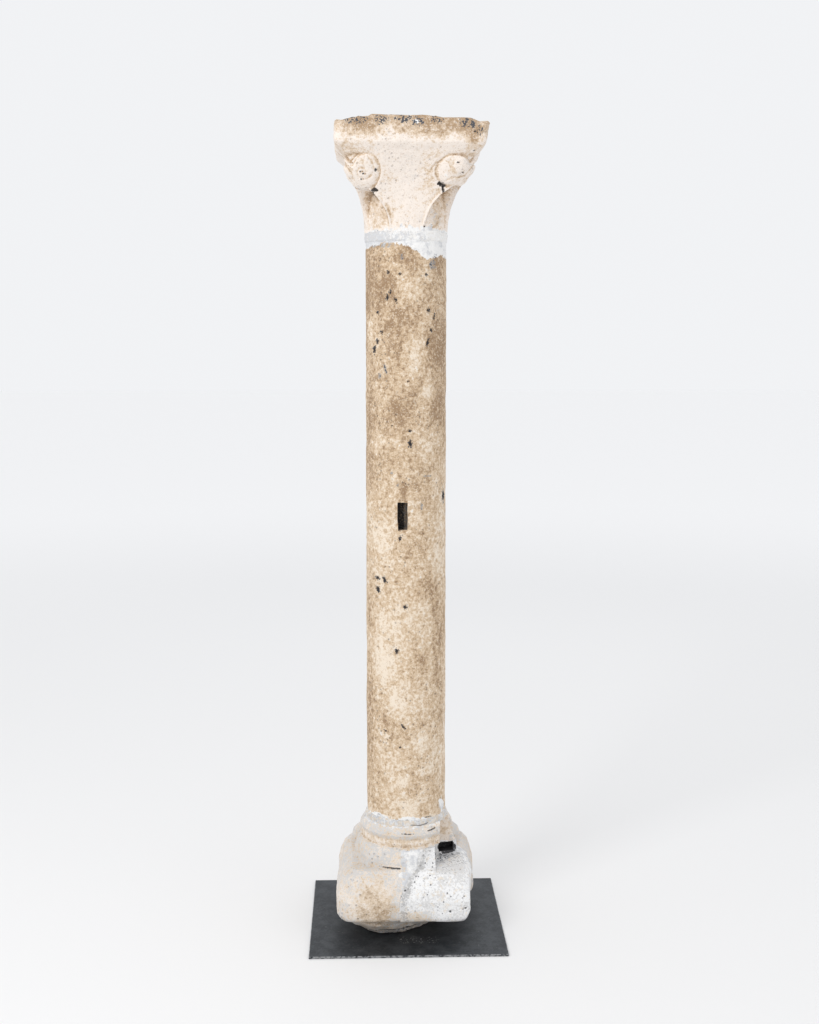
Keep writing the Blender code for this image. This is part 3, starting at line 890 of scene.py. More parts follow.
@dataclass(frozen=True)
class Shaft:
    """The plain round shaft with the old mortise in its front."""

    radius: float = 0.0945
    spread: float = 0.0025
    columns: int = 190
    rows: int = 470
    pitting: Pitting = Pitting(12, (0.11, -0.05, 0.45), (0.012, 0.16, 0.27), (0.040, 0.10, 0.10), 0.30)
    lime_stops: tuple[tuple[float, float], ...] = (
        (-0.097, 1.628), (-0.056, 1.634), (-0.025, 1.634), (0.001, 1.626), (0.024, 1.618),
        (0.037, 1.605), (0.050, 1.597), (0.070, 1.603), (0.080, 1.611), (0.097, 1.603),
    )
    lime_back: float = 1.622
    # The middle of the mortise's mouth
    mortise_x: float = -0.0107
    mortise_z: float = 0.992
    mortise: RoughBlock = RoughBlock(
        "mortise", (-0.0222, -0.13, 0.9590), (0.0008, -0.046, 1.0250), 0.0045, 0.0013, 31
    )
    cracks: tuple[Stroke, ...] = (
        Stroke(((-0.068, 0.2765), (-0.059, 0.2750), (-0.050, 0.2750)), 0.0020),
        Stroke(((-0.010, 0.2725), (-0.002, 0.2715), (0.006, 0.2720)), 0.0020),
        Stroke(((0.042, 0.2735), (0.050, 0.2735), (0.058, 0.2750)), 0.0020),
    )
    holes: tuple[Spot, ...] = marks(
        (-0.044, 1.567, 0.0034), (-0.017, 1.5618, 0.004, 0.0028), (0.045, 1.5618, 0.0028),
        (-0.0465, 1.508, 0.003, 0.006), (-0.039, 1.52, 0.0028, 0.004),
        (-0.027, 1.5007, 0.0026, 0.007, 0.4), (-0.07, 1.4729, 0.0026), (-0.0595, 1.4261, 0.0028, 0.004),
        (-0.0694, 1.4044, 0.003, 0.005), (-0.0765, 1.3852, 0.003, 0.008), (0.0503, 1.4782, 0.0036, 0.005),
        (0.0641, 1.4619, 0.0022, 0.007), (0.0571, 1.4318, 0.0034), (0.0484, 1.4022, 0.003, 0.009, -0.3),
        (0.0028, 1.311, 0.0022), (0.0073, 1.1649, 0.004, 0.0085), (0.0061, 1.1952, 0.0046, 0.0022),
        (-0.0177, 0.9405, 0.0026, 0.005), (-0.0694, 0.8436, 0.0042), (-0.0534, 0.841, 0.0036, 0.0075, 0.4),
        (-0.0684, 0.8163, 0.004, 0.0075, 0.2), (-0.0045, 0.779, 0.004), (-0.0244, 0.6728, 0.004, 0.005),
        (-0.0518, 0.4809, 0.003, 0.002, 0.8), (-0.0083, 0.4928, 0.0026, 0.006, 0.8),
        (0.0875, 1.0355, 0.0026, 0.012), (-0.017, 0.4445, 0.0022),
    )
    greys: tuple[Spot, ...] = marks(
        (-0.0367, 1.0942, 0.0055), (-0.0215, 1.0671, 0.006, 0.0085), (0.0484, 1.0873, 0.015, 0.0035, -0.6),
        (0.0339, 1.0138, 0.0038, 0.02), (-0.0516, 1.34, 0.005, 0.022, 0.25),
        (-0.0643, 1.3238, 0.006, 0.01), (0.0741, 1.4783, 0.005), (0.06, 1.585, 0.013, 0.018),
        (0.0665, 1.603, 0.009, 0.01), (-0.012, 1.603, 0.006, 0.012),
    )
    browns: tuple[Spot, ...] = marks(
        (-0.0336, 1.431, 0.036, 0.045), (-0.03, 1.385, 0.028, 0.03), (-0.018, 1.465, 0.026, 0.03),
        (-0.041, 1.55, 0.024, 0.028), (-0.022, 1.6, 0.024, 0.02), (0.066, 1.4, 0.038, 0.085),
        (0.07, 1.25, 0.024, 0.08), (-0.032, 1.22, 0.03, 0.075), (-0.01, 1.05, 0.018, 0.05),
        (0.045, 0.82, 0.048, 0.045), (0.074, 0.65, 0.026, 0.2), (0.04, 0.64, 0.024, 0.032),
        (-0.09, 0.5, 0.02, 0.2), (-0.01, 0.3842, 0.04, 0.013), (0.048, 0.37, 0.034, 0.017),
        (-0.0244, 0.67, 0.012, 0.012), (0.004, 0.345, 0.012, 0.03),
    )
    creams: tuple[Spot, ...] = marks(
        (-0.016, 1.49, 0.014, 0.016), (0.01, 1.525, 0.034, 0.032), (0.026, 1.38, 0.032, 0.085),
        (-0.088, 1.44, 0.018, 0.06), (-0.072, 1.29, 0.022, 0.036), (0.05, 1.29, 0.026, 0.03),
        (-0.068, 1.17, 0.02, 0.045), (0.048, 1.15, 0.024, 0.05), (-0.055, 0.935, 0.045, 0.06),
        (-0.02, 0.88, 0.05, 0.02), (-0.045, 0.68, 0.055, 0.14), (-0.02, 0.56, 0.05, 0.08),
        (0.0, 0.3, 0.06, 0.035), (0.03, 0.45, 0.045, 0.045),
    )

    def skin(self, around: np.ndarray, along: np.ndarray) -> np.ndarray:
        """Places the points of the shaft's skin.

        Args:
            around: shares of a turn.
            along: shares from the middle of the foot to the middle of the head.

        Returns:
            The points, one row each.
        """
        angle = 2 * math.pi * around
        up, inward = climb(along, self.rows, 5.0)
        height = SHAFT_FOOT + (SHAFT_TOP - SHAFT_FOOT) * up
        radius = self.radius + self.spread * up + 0.0005 * slow_wave(angle, up)
        points = placed(radius, angle, height)
        weather = Weather(11)
        wear = 0.0007 * weather.layers(points, 0.045, 3) + 0.00045 * weather.layers(points, 0.009, 2, 20)
        pits = self.pitting.depth(points)
        lip = np.hypot((points[:, 0] - self.mortise_x) / 0.0145, (points[:, 2] - self.mortise_z) / 0.0365)
        lip = hill(lip - 1.0, 0.30) * smooth_step(-0.1, 0.5, weather.layers(points, 0.012, 3, 60))
        lip = np.where(points[:, 1] < 0, lip, 0.0)
        radius = radius + wear - 0.0022 * pits - 0.0035 * spots(self.holes, points) - 0.0045 * lip
        chips = np.maximum(0.0, weather.layers(points, 0.022, 3, 40))
        edge = hill(height - SHAFT_FOOT, 0.010) + hill(height - SHAFT_TOP, 0.008)
        radius = (radius - 0.0035 * edge * chips) * inward
        return placed(radius, angle, height)

    def lime_line(self, points: np.ndarray) -> np.ndarray:
        """Returns the height down to which lime is smeared over the head of the shaft.

        Args:
            points: points on the stone.

        Returns:
            A height above the floor for each point.
        """
        across = np.where(points[:, 1] < 0, points[:, 0], np.sign(points[:, 0]) * 0.097)
        edge = np.interp(across, *zip(*self.lime_stops))
        back = smooth_step(0.0, 0.05, points[:, 1])
        return edge + back * (self.lime_back - edge) + 0.004 * Weather(13).layers(points, 0.02, 2)

    def build(self) -> bpy.types.Object:
        """Rolls the shaft, cuts its mortise and keeps its stains.

        Returns:
            The piece.
        """
        piece = Sheet("shaft", self.columns, self.rows).roll(self.skin)
        cut(piece, self.mortise.build(), Cut.AWAY)
        smooth(piece)
        self.stain(piece)
        return piece

    def stain(self, piece: bpy.types.Object) -> None:
        """Keeps the shaft's tone, lime, grey, soot and dark places as shares on it, with painted shade in its
        hollows, pits and mortise and down the left of its front.

        Args:
            piece: the stone.
        """
        points = places(piece)
        weather = Weather(14)
        outward = np.hypot(points[:, 0], points[:, 1])
        inside = smooth_step(0.002, 0.010, self.radius - outward)
        x, y, z = points.T
        front = (y < 0) & (np.abs(x) < 0.03) & (np.abs(z - self.mortise_z) < 0.04)
        tone = 0.5 * spots(self.creams, points) - 0.5 * spots(self.browns, points)
        tone = tone + 0.35 * weather.layers(points * np.array([1, 1, 0.4]), 0.05, 4)
        # Darker in hollows and lighter on ridges: partly dirt in the hollows, partly painted shade and
        # highlight
        tone = tone - 0.5 * np.clip(hollows(piece, 6) / 0.0005, -1.0, 1.0)
        tone = tone - 0.15 - 0.55 * smooth_step(0.90, 1.30, z)
        # Painted shade: the left edge of the front is darker
        tone = tone - 0.20 * smooth_step(0.060, 0.092, -x) * (y < 0.02)
        lime = smooth_step(-0.008, 0.006, z - self.lime_line(points))
        foot = SHAFT_FOOT + 0.007 + 0.007 * weather.layers(points, 0.03, 3, 50)
        lime = np.maximum(lime, 0.8 * (1 - smooth_step(-0.002, 0.003, z - foot)))
        corner = Spot(0.0830, 0.292, 0.010, 0.026, 0.2)
        lime = np.maximum(lime, corner.share(points))
        keep_share(piece, "tone", tone)
        keep_share(piece, "lime", lime)
        grey = np.maximum(spots(self.greys, points), np.where(front, 0.9 * inside, 0.0))
        left = smooth_step(0.010, 0.050, -x) * smooth_step(1.620, 1.632, z)
        keep_share(piece, "grey", np.maximum(grey, left * (y < 0)))
        crowd = spots(self.holes, points, 2.6) + 0.55 * spots(self.greys, points, 1.3)
        keep_share(piece, "soot", np.minimum(1.0, crowd))
        # Painted shade: the mortise darker the deeper it goes, and less so at its right
        deep = np.where(front, smooth_step(0.008, 0.026, self.radius - outward), 0.0)
        deep = deep * (1 - 0.75 * smooth_step(-0.010, -0.003, x))
        dark = np.maximum(self.pitting.depth(points) * 0.9, spots(self.holes, points, 1.5))
        for stroke in self.cracks:
            dark = np.maximum(dark, 0.8 * stroke.share(x, z) * (y < 0))
        keep_share(piece, "dark", np.maximum(dark, 0.75 * deep))


@dataclass(frozen=True)
class MortarBed:
    """A mortar joint, pressed out unevenly between two stones."""

    name: str
    foot: float
    head: float
    low_radius: float
    high_radius: float
    swell: float
    seed: int
    lap: float = 0.0045
    columns: int = 300
    rows: int = 34

    def skin(self, around: np.ndarray, along: np.ndarray) -> np.ndarray:
        """Places the points of the joint's skin.

        Args:
            around: shares of a turn.
            along: shares from the middle of its underside to the middle of its top.

        Returns:
            The points, one row each.
        """
        angle = 2 * math.pi * around
        up, inward = climb(along, self.rows, 4.0)
        height = self.foot - self.lap + (self.head - self.foot + 2 * self.lap) * up
        radius = self.low_radius + (self.high_radius - self.low_radius) * up
        points = placed(radius, angle, height)
        weather = Weather(self.seed)
        beyond = np.maximum(np.maximum(self.foot - height, height - self.head), 0.0) / self.lap
        belly = 1 - smooth_step(0.0, 1.0, beyond)
        radius = radius + self.swell * belly * (0.6 + 0.9 * weather.layers(points, 0.03, 3)) - 0.0016 * beyond
        radius = radius + 0.0008 * weather.layers(points, 0.007, 2, 9)
        radius = radius + 0.0013 * beyond * weather.layers(points, 0.012, 3, 40)
        radius = radius * inward
        return placed(radius, angle, height)

    def build(self, tone: float, slope: float) -> bpy.types.Object:
        """Rolls the joint and keeps its stains.

        Args:
            tone: how light the mortar is, from -1 to 1.
            slope: how much lighter it is at its right.

        Returns:
            The piece.
        """
        piece = Sheet(self.name, self.columns, self.rows).roll(self.skin)
        smooth(piece)
        points = places(piece)
        weather = Weather(self.seed + 1)
        cracks = hill(weather.layers(points, 0.05, 3), 0.06) * hill(points[:, 2] - self.head, 0.004)
        drift = slope * points[:, 0] / self.low_radius * (points[:, 1] < 0)
        keep_share(piece, "tone", tone + drift + 0.25 * weather.layers(points, 0.05, 2))
        line = Stroke(((0.009, 0.2600), (0.030, 0.2585), (0.049, 0.2605)), 0.0022)
        cracks = np.maximum(0.6 * cracks, line.share(points[:, 0], points[:, 2]) * (points[:, 1] < 0))
        keep_share(piece, "dark", cracks)
        return piece


@dataclass(frozen=True)
class Base:
    """The moulded base on its square plinth, worn, with its front right corner broken off."""

    side: float = 0.332
    corner: float = 0.048
    back_corner: float = 0.026
    back_full: float = 0.009
    plinth: float = 0.157
    shoulder: float = 0.034
    rise: float = 0.045
    inset: float = 0.074
    foot_round: float = 0.012
    ledge: float = 0.161
    roll: float = 0.043
    roll_spread: float = 0.016
    drum_radius: float = 0.108
    upper_radius: float = 0.111
    seat_radius: float = 0.0985
    # Where the line of the break meets the front face, along X, and the right face, along Y
    break_front: float = -0.018
    break_right: float = 0.030
    columns: int = 330
    rows: int = 210
    pitting: Pitting = Pitting(22, (0.09, 0.0, 0.5), (0.013, 0.14, 0.26), (0.045, 0.12, 0.10))

    def spur(self, angle: np.ndarray) -> np.ndarray:
        """Returns how much of a corner spur is left in each direction."""
        kept = np.where(np.sin(angle) > 0, 0.88, 0.15)
        return kept * smooth_step(0.4, 0.95, np.tan(from_face(angle)))

    def plan(self, angle: np.ndarray, inward: np.ndarray) -> np.ndarray:
        """Measures the plan of the plinth.

        Args:
            angle: the direction of each point.
            inward: how far in from the widest plan.

        Returns:
            The distance to its edge in each direction.
        """
        half = self.side / 2 - inward * (1 - 0.3 * self.spur(angle))
        corner = np.where(np.sin(angle) > 0, self.back_corner, self.corner)
        return rounded_square(half, corner, angle) + self.back_full * hill(turned_by(angle, BACK_RIGHT), 0.6)

    def stations(self, angle: np.ndarray, along: np.ndarray) -> tuple[np.ndarray, np.ndarray]:
        """Follows the profile from the middle of the underside up to the middle of the seat.

        Args:
            angle: the direction of each point.
            along: shares along the profile.

        Returns:
            The radius and the height above the stone's own foot.
        """
        full = hill(turned_by(angle, math.radians(-118)), 0.75)
        patch = self.side / 2 - self.inset
        patch = patch - 0.032 * hill(turned_by(angle, FRONT_RIGHT), 1.0)
        under = rounded_square(patch + 0.014 * full, np.full_like(angle, self.corner), angle)
        lift = (self.inset - self.foot_round) * 0.75 ** (2.6 - 1.9 * full)
        edge = rounded_square(patch + 0.0035 * full + lift, np.full_like(angle, self.corner), angle)
        wide = self.plan(angle, np.zeros_like(angle))
        foot = self.plan(angle, np.full_like(angle, self.foot_round))
        bevel = self.plan(angle, np.full_like(angle, self.shoulder * 0.24))
        top = self.plan(angle, np.full_like(angle, self.shoulder))
        upright = self.plinth - self.rise
        lower = self.drum_radius + self.roll_spread
        lower = lower + self.spur(angle) * (top - self.drum_radius - self.roll_spread)
        # Each stop holds its share along the profile, its radius and its height above the foot
        stops = [(0.0, np.zeros_like(angle), 0.0), (0.03, under, 0.0), (0.10, edge, 0.034)]
        stops += [(0.13, foot, 0.0455), (0.142, foot + 0.62 * (wide - foot), 0.0495)]
        stops += [(0.152, foot + 0.9 * (wide - foot), 0.057), (0.165, wide, self.rise + upright * 0.22)]
        stops += [(0.33, wide, self.rise + upright * 0.45), (0.40, bevel, self.rise + upright * 0.69)]
        mid = self.plan(angle, np.full_like(angle, self.shoulder * 0.5))
        stops += [(0.45, mid, self.rise + upright * 0.87), (0.50, top, self.plinth)]
        stops += [(0.535, lower + 0.002, self.ledge - 0.002), (0.545, lower, self.ledge + 0.003)]
        for share in (0.25, 0.5, 0.75, 0.95):
            turn = share * QUARTER
            out = self.drum_radius + (lower - self.drum_radius) * math.cos(turn)
            stops.append((0.545 + 0.165 * share, out, self.ledge + self.roll * math.sin(turn)))
        drum = np.full_like(angle, self.drum_radius)
        stops += [(0.715, drum - 0.0025, 0.2055), (0.74, drum - 0.001, 0.212), (0.77, drum - 0.003, 0.2205)]
        for share, out in ((0.12, 0.72), (0.36, 1.0), (0.58, 0.88), (0.80, 0.50), (0.99, 0.03)):
            wide_roll = self.seat_radius + (self.upper_radius - self.seat_radius) * out
            stops.append((0.78 + 0.14 * share, np.full_like(angle, wide_roll), 0.221 + 0.031 * share))
        seat = np.full_like(angle, self.seat_radius - 0.002)
        stops += [(0.935, seat, 0.252), (1.0, np.zeros_like(angle), 0.252)]
        radius, height = np.zeros_like(angle), np.zeros_like(angle)
        for (start, r0, h0), (end, r1, h1) in zip(stops, stops[1:]):
            inside = (along >= start) & (along <= end)
            share = np.clip((along - start) / (end - start), 0.0, 1.0)
            radius = np.where(inside, r0 + (r1 - r0) * share, radius)
            height = np.where(inside, h0 + (h1 - h0) * share, height)
        return radius, height

    def skin(self, around: np.ndarray, along: np.ndarray) -> np.ndarray:
        """Places the points of the whole base, before the break.

        Args:
            around: shares of a turn.
            along: shares from the middle of its underside to the middle of its seat.

        Returns:
            The points, one row each.
        """
        angle = 2 * math.pi * around
        radius, height = self.stations(angle, along)
        height = height + BASE_FOOT
        points = placed(radius, angle, height)
        weather = Weather(21)
        plinth = 1 - smooth_step(0.15, 0.20, height)
        under = 1 - smooth_step(0.045, 0.065, height)
        wear = 0.0013 * weather.layers(points, 0.05, 4) * (0.6 + 0.9 * plinth)
        wear = wear + 0.0006 * weather.layers(points, 0.010, 2, 30)
        wear = wear + 0.0060 * under * weather.layers(points, 0.040, 4, 60) * (radius > 0.05)
        pits = self.pitting.depth(points)
        held = smooth_step(0.0, 0.03, radius)
        radius = radius + held * (wear + 0.0016 * slow_wave(angle, height) * plinth - 0.0026 * pits)
        height = height + 0.0012 * plinth * weather.layers(points, 0.03, 3, 80) * held
        height = np.maximum(height, BASE_FOOT)
        return placed(radius, angle, height)

    def break_line(self) -> tuple[np.ndarray, np.ndarray]:
        """Follows the line of the break across the plinth, seen from above.

        Returns:
            Where it starts on the front face, and the way from there to the right face.
        """
        half = self.side / 2
        start, end = np.array([self.break_front, -half]), np.array([half, self.break_right])
        return start, end - start

    def corner_block(self, grow: float) -> bpy.types.Object:
        """Builds the rough block that holds the broken corner, its faces moved outwards or inwards.

        Args:
            grow: how much farther out its faces stand.

        Returns:
            The closed block.
        """
        start, way = self.break_line()
        turn = math.atan2(way[1], way[0])
        top = BASE_FOOT + 0.204 - 0.003
        low = (-0.10, -0.34, -0.02)
        high = (0.42, 0.0, top)
        pivot = (float(start[0]), float(start[1]))
        return RoughBlock("corner", low, high, 0.0075, 0.0035, 33, turn, pivot).build(grow)

    def sockets(self) -> tuple[RoughBlock, ...]:
        """Returns the blocks of the stepped socket and of the deep hole at its back.

        Returns:
            The blocks, not yet built.
        """
        floor = BASE_FOOT + self.ledge - 0.006
        start, end = (0.079, -0.05, floor + 0.004), (0.114, 0.021, floor + 0.027)
        return (
            RoughBlock("socket_low", (0.0662, -0.34, floor), (0.34, -0.0172, 0.2093), 0.0055, 0.0012, 34),
            RoughBlock("socket_high", (0.0792, -0.34, 0.194), (0.34, -0.0155, 0.29), 0.0055, 0.0012, 35),
            RoughBlock("deep_hole", start, end, 0.004, 0.0016, 36, slant=0.2),
        )

    def build(self) -> bpy.types.Object:
        """Rolls the base, breaks its corner off, cuts its socket and keeps its stains.

        Returns:
            The piece.
        """
        piece = Sheet("base", self.columns, self.rows).roll(self.skin)
        cut(piece, self.corner_block(0.0), Cut.AWAY)
        for block in self.sockets():
            cut(piece, block.build(), Cut.AWAY)
        smooth(piece)
        self.stain(piece)
        return piece

    def stain(self, piece: bpy.types.Object) -> None:
        """Keeps the base's tone, lime, grey, soot and dark places as shares on it, with painted shade in its
        hollows, pits and deep hole and on its underside.

        Args:
            piece: the stone.
        """
        points = places(piece)
        weather = Weather(23)
        reach = np.hypot(points[:, 0], points[:, 1])
        height = points[:, 2] - BASE_FOOT
        drum = smooth_step(0.200, 0.206, height) * (1 - smooth_step(0.219, 0.228, height))
        front = points[:, 1] < 0.03
        # The front's left half is warmer, and the narrow drum between the rolls too
        face = Spot(-0.078, 0.092, 0.078, 0.080)
        ochre = Spot(-0.055, 0.070, 0.034, 0.030)
        tone = 0.45 + 0.40 * weather.layers(points, 0.06, 3) - 0.50 * drum - 0.80 * face.share(points)
        # Darker in hollows and lighter on ridges: partly dirt in the hollows, partly painted shade and
        # highlight
        tone = tone - 0.30 * np.clip(hollows(piece, 6) / 0.0008, -1.0, 1.0)
        keep_share(piece, "tone", tone - 0.55 * ochre.share(points) + 0.1)
        # Dark lines: the crack under the roll, one round the seat, and one under the upper roll
        x = points[:, 0]
        ledge = hill(height - 0.1605, 0.0030) * hill(reach - 0.124, 0.010) * front
        ledge = ledge * (0.35 + 0.65 * smooth_step(-0.066, -0.050, x)) * smooth_step(-0.105, -0.075, x)
        ledge = ledge * (1 - smooth_step(-0.020, -0.012, x))
        crack = Stroke(((-0.020, 0.2440), (0.010, 0.2425), (0.040, 0.2445), (0.066, 0.2480)), 0.0026)
        crack = crack.share(x, points[:, 2]) * front
        crack = crack * smooth_step(-0.3, 0.2, weather.layers(points, 0.02, 3, 9))
        step_line = smooth_step(0.0, 0.6, weather.layers(points, 0.03, 3, 12))
        step_line = hill(height - 0.2215, 0.0022) * step_line * 0.4
        keep_dark = np.maximum(np.maximum(ledge, crack), step_line)
        bands = hill(weather.layers(points * np.array([1, 1, 4.0]), 0.06, 3, 20), 0.30)
        bands = bands * smooth_step(0.200, 0.215, height)
        seat = smooth_step(0.243, 0.250, height)
        lime = np.maximum(0.32 * bands * (1 - 0.7 * drum), 0.50 * seat)
        # Lime: bands on the rolls, mortar on the seat, and a skim of plaster beside the break
        edge = self.beyond_break(points)
        band = hill(edge + 0.010, 0.019) * (height < 0.20) * smooth_step(0.02, 0.05, height)
        skim = smooth_step(-0.020, -0.013, x + 0.006 * weather.layers(points, 0.02, 3, 81))
        skim = skim * smooth_step(0.080, 0.100, height) * (1 - smooth_step(0.198, 0.203, height)) * front
        skim = skim * (1 - smooth_step(0.046, 0.056, x) * smooth_step(0.185, 0.192, height))
        rim = hill(x + 0.008, 0.018) * skim
        lime = np.maximum(lime, 0.95 * skim - 0.25 * rim)
        keep_share(piece, "lime", np.maximum(lime, 0.15 * band))
        grey = 0.62 + 0.35 * weather.layers(points, 0.05, 3, 60) + 0.20 * smooth_step(0.12, 0.16, height)
        grey = grey * (1 - face.share(points)) * (1 - 0.8 * drum)
        grey = np.maximum(np.maximum(grey, 0.75 * band), 1.2 * rim)
        wall = self.in_socket(points)
        grey = np.where(wall, np.where(height < 0.160, 0.55, 0.12), grey)
        keep_share(piece, "grey", grey)
        # Painted shade on the underside, and soot in streaks on the socket's floor
        streaks = weather.layers(points * np.array([0.4, 1.2, 1.0]), 0.022, 2, 75)
        soot = 0.42 * (1 - smooth_step(0.0, 0.045, height))
        soot = soot + 0.20 * weather.layers(points, 0.04, 3, 70) * (height < 0.07)
        soot = np.where(wall & (height < 0.160), 0.45 + 0.50 * streaks, soot)
        keep_share(piece, "soot", soot)
        # Dark: painted shade filling the deep hole and its ragged mouth, and dark seams along the underside
        hole = (points[:, 1] > -0.013) & (reach < 0.118) & (x > 0.070)
        hole = hole & (height > 0.150) & (height < 0.196)
        under = hill(height - 0.016 - 0.006 * weather.layers(points, 0.05, 3, 33), 0.0035)
        under = under * (height < 0.05) * (reach > 0.09)
        dark = np.maximum(self.pitting.depth(points) * 0.85, keep_dark)
        dark = np.maximum(dark, 0.8 * under * (points[:, 1] < 0))
        dark = np.maximum(dark, np.where(hole, 0.9, 0.0))
        # Painted shade: the round mouth of the deep hole painted black
        round_hole = np.hypot((x - 0.0985) / 0.023, (points[:, 2] - 0.1770) / 0.0165)
        round_hole = round_hole + 0.22 * weather.layers(points, 0.012, 3, 95)
        black = (1 - smooth_step(0.85, 1.1, round_hole)) * (points[:, 1] > -0.024)
        black = black * (reach < 0.128) * (x > 0.06)
        keep_share(piece, "dark", np.maximum(dark, black))

    def beyond_break(self, points: np.ndarray) -> np.ndarray:
        """Returns how far each point lies beyond the line of the break, towards the lost corner.

        Args:
            points: points on the stone.

        Returns:
            A distance in metres for each point, less than 0 on the stone's side.
        """
        start, way = self.break_line()
        way = way / np.linalg.norm(way)
        return (points[:, 0] - start[0]) * way[1] - (points[:, 1] - start[1]) * way[0]

    def in_socket(self, points: np.ndarray) -> np.ndarray:
        """Says which points lie on the walls or the floor of the socket.

        Args:
            points: points on the stone.

        Returns:
            True for those that do.
        """
        inside = (points[:, 0] > 0.063) & (points[:, 1] < -0.013) & (points[:, 2] > BASE_FOOT + 0.150)
        reach = np.hypot(points[:, 0], points[:, 1])
        return inside & ((reach < 0.106) | (points[:, 2] < BASE_FOOT + 0.158))


@dataclass(frozen=True)
class PlasterCorner:
    """The white plaster that makes good the broken corner."""

    base: Base
    inset_front: float = 0.022
    inset_back: float = 0.009
    holes: tuple[Spot, ...] = marks(
        (-0.0075, 0.126, 0.0045, 0.003), (0.134, 0.086, 0.0055, 0.0035), (0.098, 0.079, 0.006, 0.0045),
        (0.02, 0.07, 0.0022), (0.06, 0.11, 0.002), (0.09, 0.142, 0.0024),
    )

    def skin(self, around: np.ndarray, along: np.ndarray) -> np.ndarray:
        """Places the points of the corner's smoother form.

        Args:
            around: shares of a turn.
            along: shares along the base's profile.

        Returns:
            The points, one row each.
        """
        angle = 2 * math.pi * around
        radius, height = self.base.stations(angle, along)
        height = height + BASE_FOOT
        points = placed(radius, angle, height)
        weather = Weather(41)
        under = 1 - smooth_step(0.045, 0.065, height)
        wear = 0.0018 * weather.layers(points, 0.045, 4) + 0.0006 * weather.layers(points, 0.010, 2, 30)
        wear = wear + 0.0035 * under * weather.layers(points, 0.035, 3, 60)
        held = smooth_step(0.0, 0.03, radius)
        radius = radius + held * (wear + 0.0016 * slow_wave(angle, height) - 0.003 * self.pitting(points))
        x, y = radius * np.cos(angle), radius * np.sin(angle)
        half = self.base.side / 2
        share = smooth_step(-half, 0.0, y)
        limit = half - self.inset_front + (self.inset_front - self.inset_back) * share
        limit = limit + 0.0022 * weather.layers(points, 0.05, 4, 90)
        rise = np.clip((height - BASE_FOOT - 0.043) / 0.040, 0.0, 1.0)
        limit = limit - 0.022 * (1 - rise) ** 2
        x = np.where(y < 0.06, np.minimum(x, limit), x)
        return np.stack([x, y, np.maximum(height, BASE_FOOT)], axis=1)

    def pitting(self, points: np.ndarray) -> np.ndarray:
        """Returns how deep each point is in an air pit."""
        scattered = Weather(42).pits(points, 0.022, 0.10, 0.12, 100)
        return np.maximum(scattered, spots(self.holes, points))

    def build(self) -> bpy.types.Object:
        """Rolls the form, keeps only the corner, cuts the socket across it, and keeps its stains and the
        painted shade on its underside.

        Returns:
            The piece.
        """
        piece = Sheet("plaster_corner", self.base.columns, self.base.rows).roll(self.skin)
        cut(piece, self.base.corner_block(-0.0004), Cut.KEEP)
        for block in self.base.sockets():
            cut(piece, block.build(), Cut.AWAY)
        smooth(piece)
        points = places(piece)
        weather = Weather(43)
        height = points[:, 2] - BASE_FOOT
        edge = self.base.beyond_break(points)
        grey = 0.55 * hill(edge - 0.004, 0.016) + 0.12 * weather.layers(points, 0.04, 3)
        floor = (points[:, 0] > 0.06) & (np.abs(height - 0.155) < 0.004) & (points[:, 1] < -0.016)
        grey = np.maximum(grey, np.where(floor, 0.42, 0.0))
        # Painted shade: greyer towards the underside
        grey = np.maximum(grey, 0.5 * (1 - smooth_step(0.0, 0.045, height)))
        keep_share(piece, "grey", grey)
        low = (1 - smooth_step(0.030, 0.075, points[:, 0])) * (1 - smooth_step(0.055, 0.095, height))
        keep_share(piece, "stone", low * 1.3)
        keep_share(piece, "dark", self.pitting(points))
        return piece


@dataclass(frozen=True)
class Curl:
    """One face of a curled leaf tip: a round lobe with a raised rim and an eye."""

    face: float
    side: float
    along: float
    up: float
    wide: float
    tall: float
    eye_along: float
    eye_up: float
    eye: float
    worn: float

    def shape(self, angle: np.ndarray, height: np.ndarray, reach: np.ndarray) -> tuple[np.ndarray, ...]:
        """Works out the lobe.

        Args:
            angle: the direction of each point.
            height: its height above the capital's foot.
            reach: its distance from the axis.

        Returns:
            The share of each point that lies on the lobe, and how far the lobe stands out there.
        """
        turn = (angle - self.face + math.pi) % (2 * math.pi) - math.pi
        along = reach * np.sin(turn) * self.side
        u, v = (along - self.along) / self.wide, (height - self.up) / self.tall
        away = np.hypot(u, v)
        near = (turn * self.side > 0) & (turn * self.side < math.radians(56))
        lobe = (1 - smooth_step(0.90, 1.03, away)) * near
        dome = np.sqrt(np.clip(1.04 - away**2, 0.0, 1.0))
        rim = hill(away - 0.84, 0.15)
        sink = hill(away - 0.62, 0.17)
        eye = np.hypot(along - self.eye_along, height - self.eye_up) / self.eye
        ball = np.sqrt(np.clip(1.0 - eye**2, 0.0, 1.0))
        ring = hill(eye - 1.12, 0.22)
        bearing = np.arctan2(v, -u)
        open_side = smooth_step(-0.2, 0.9, np.sin(bearing + 0.5))
        cut_in = np.maximum(sink * open_side, ring * (0.35 + 0.65 * open_side)) * (1 - ball)
        fresh = 1 - self.worn
        stand = 0.0055 * dome + 0.0030 * fresh * rim + 0.0050 * ball - 0.0055 * fresh * cut_in
        edge = hill(away - 1.06, 0.14) * near
        return lobe, stand * lobe - 0.0035 * edge * (1 - lobe)


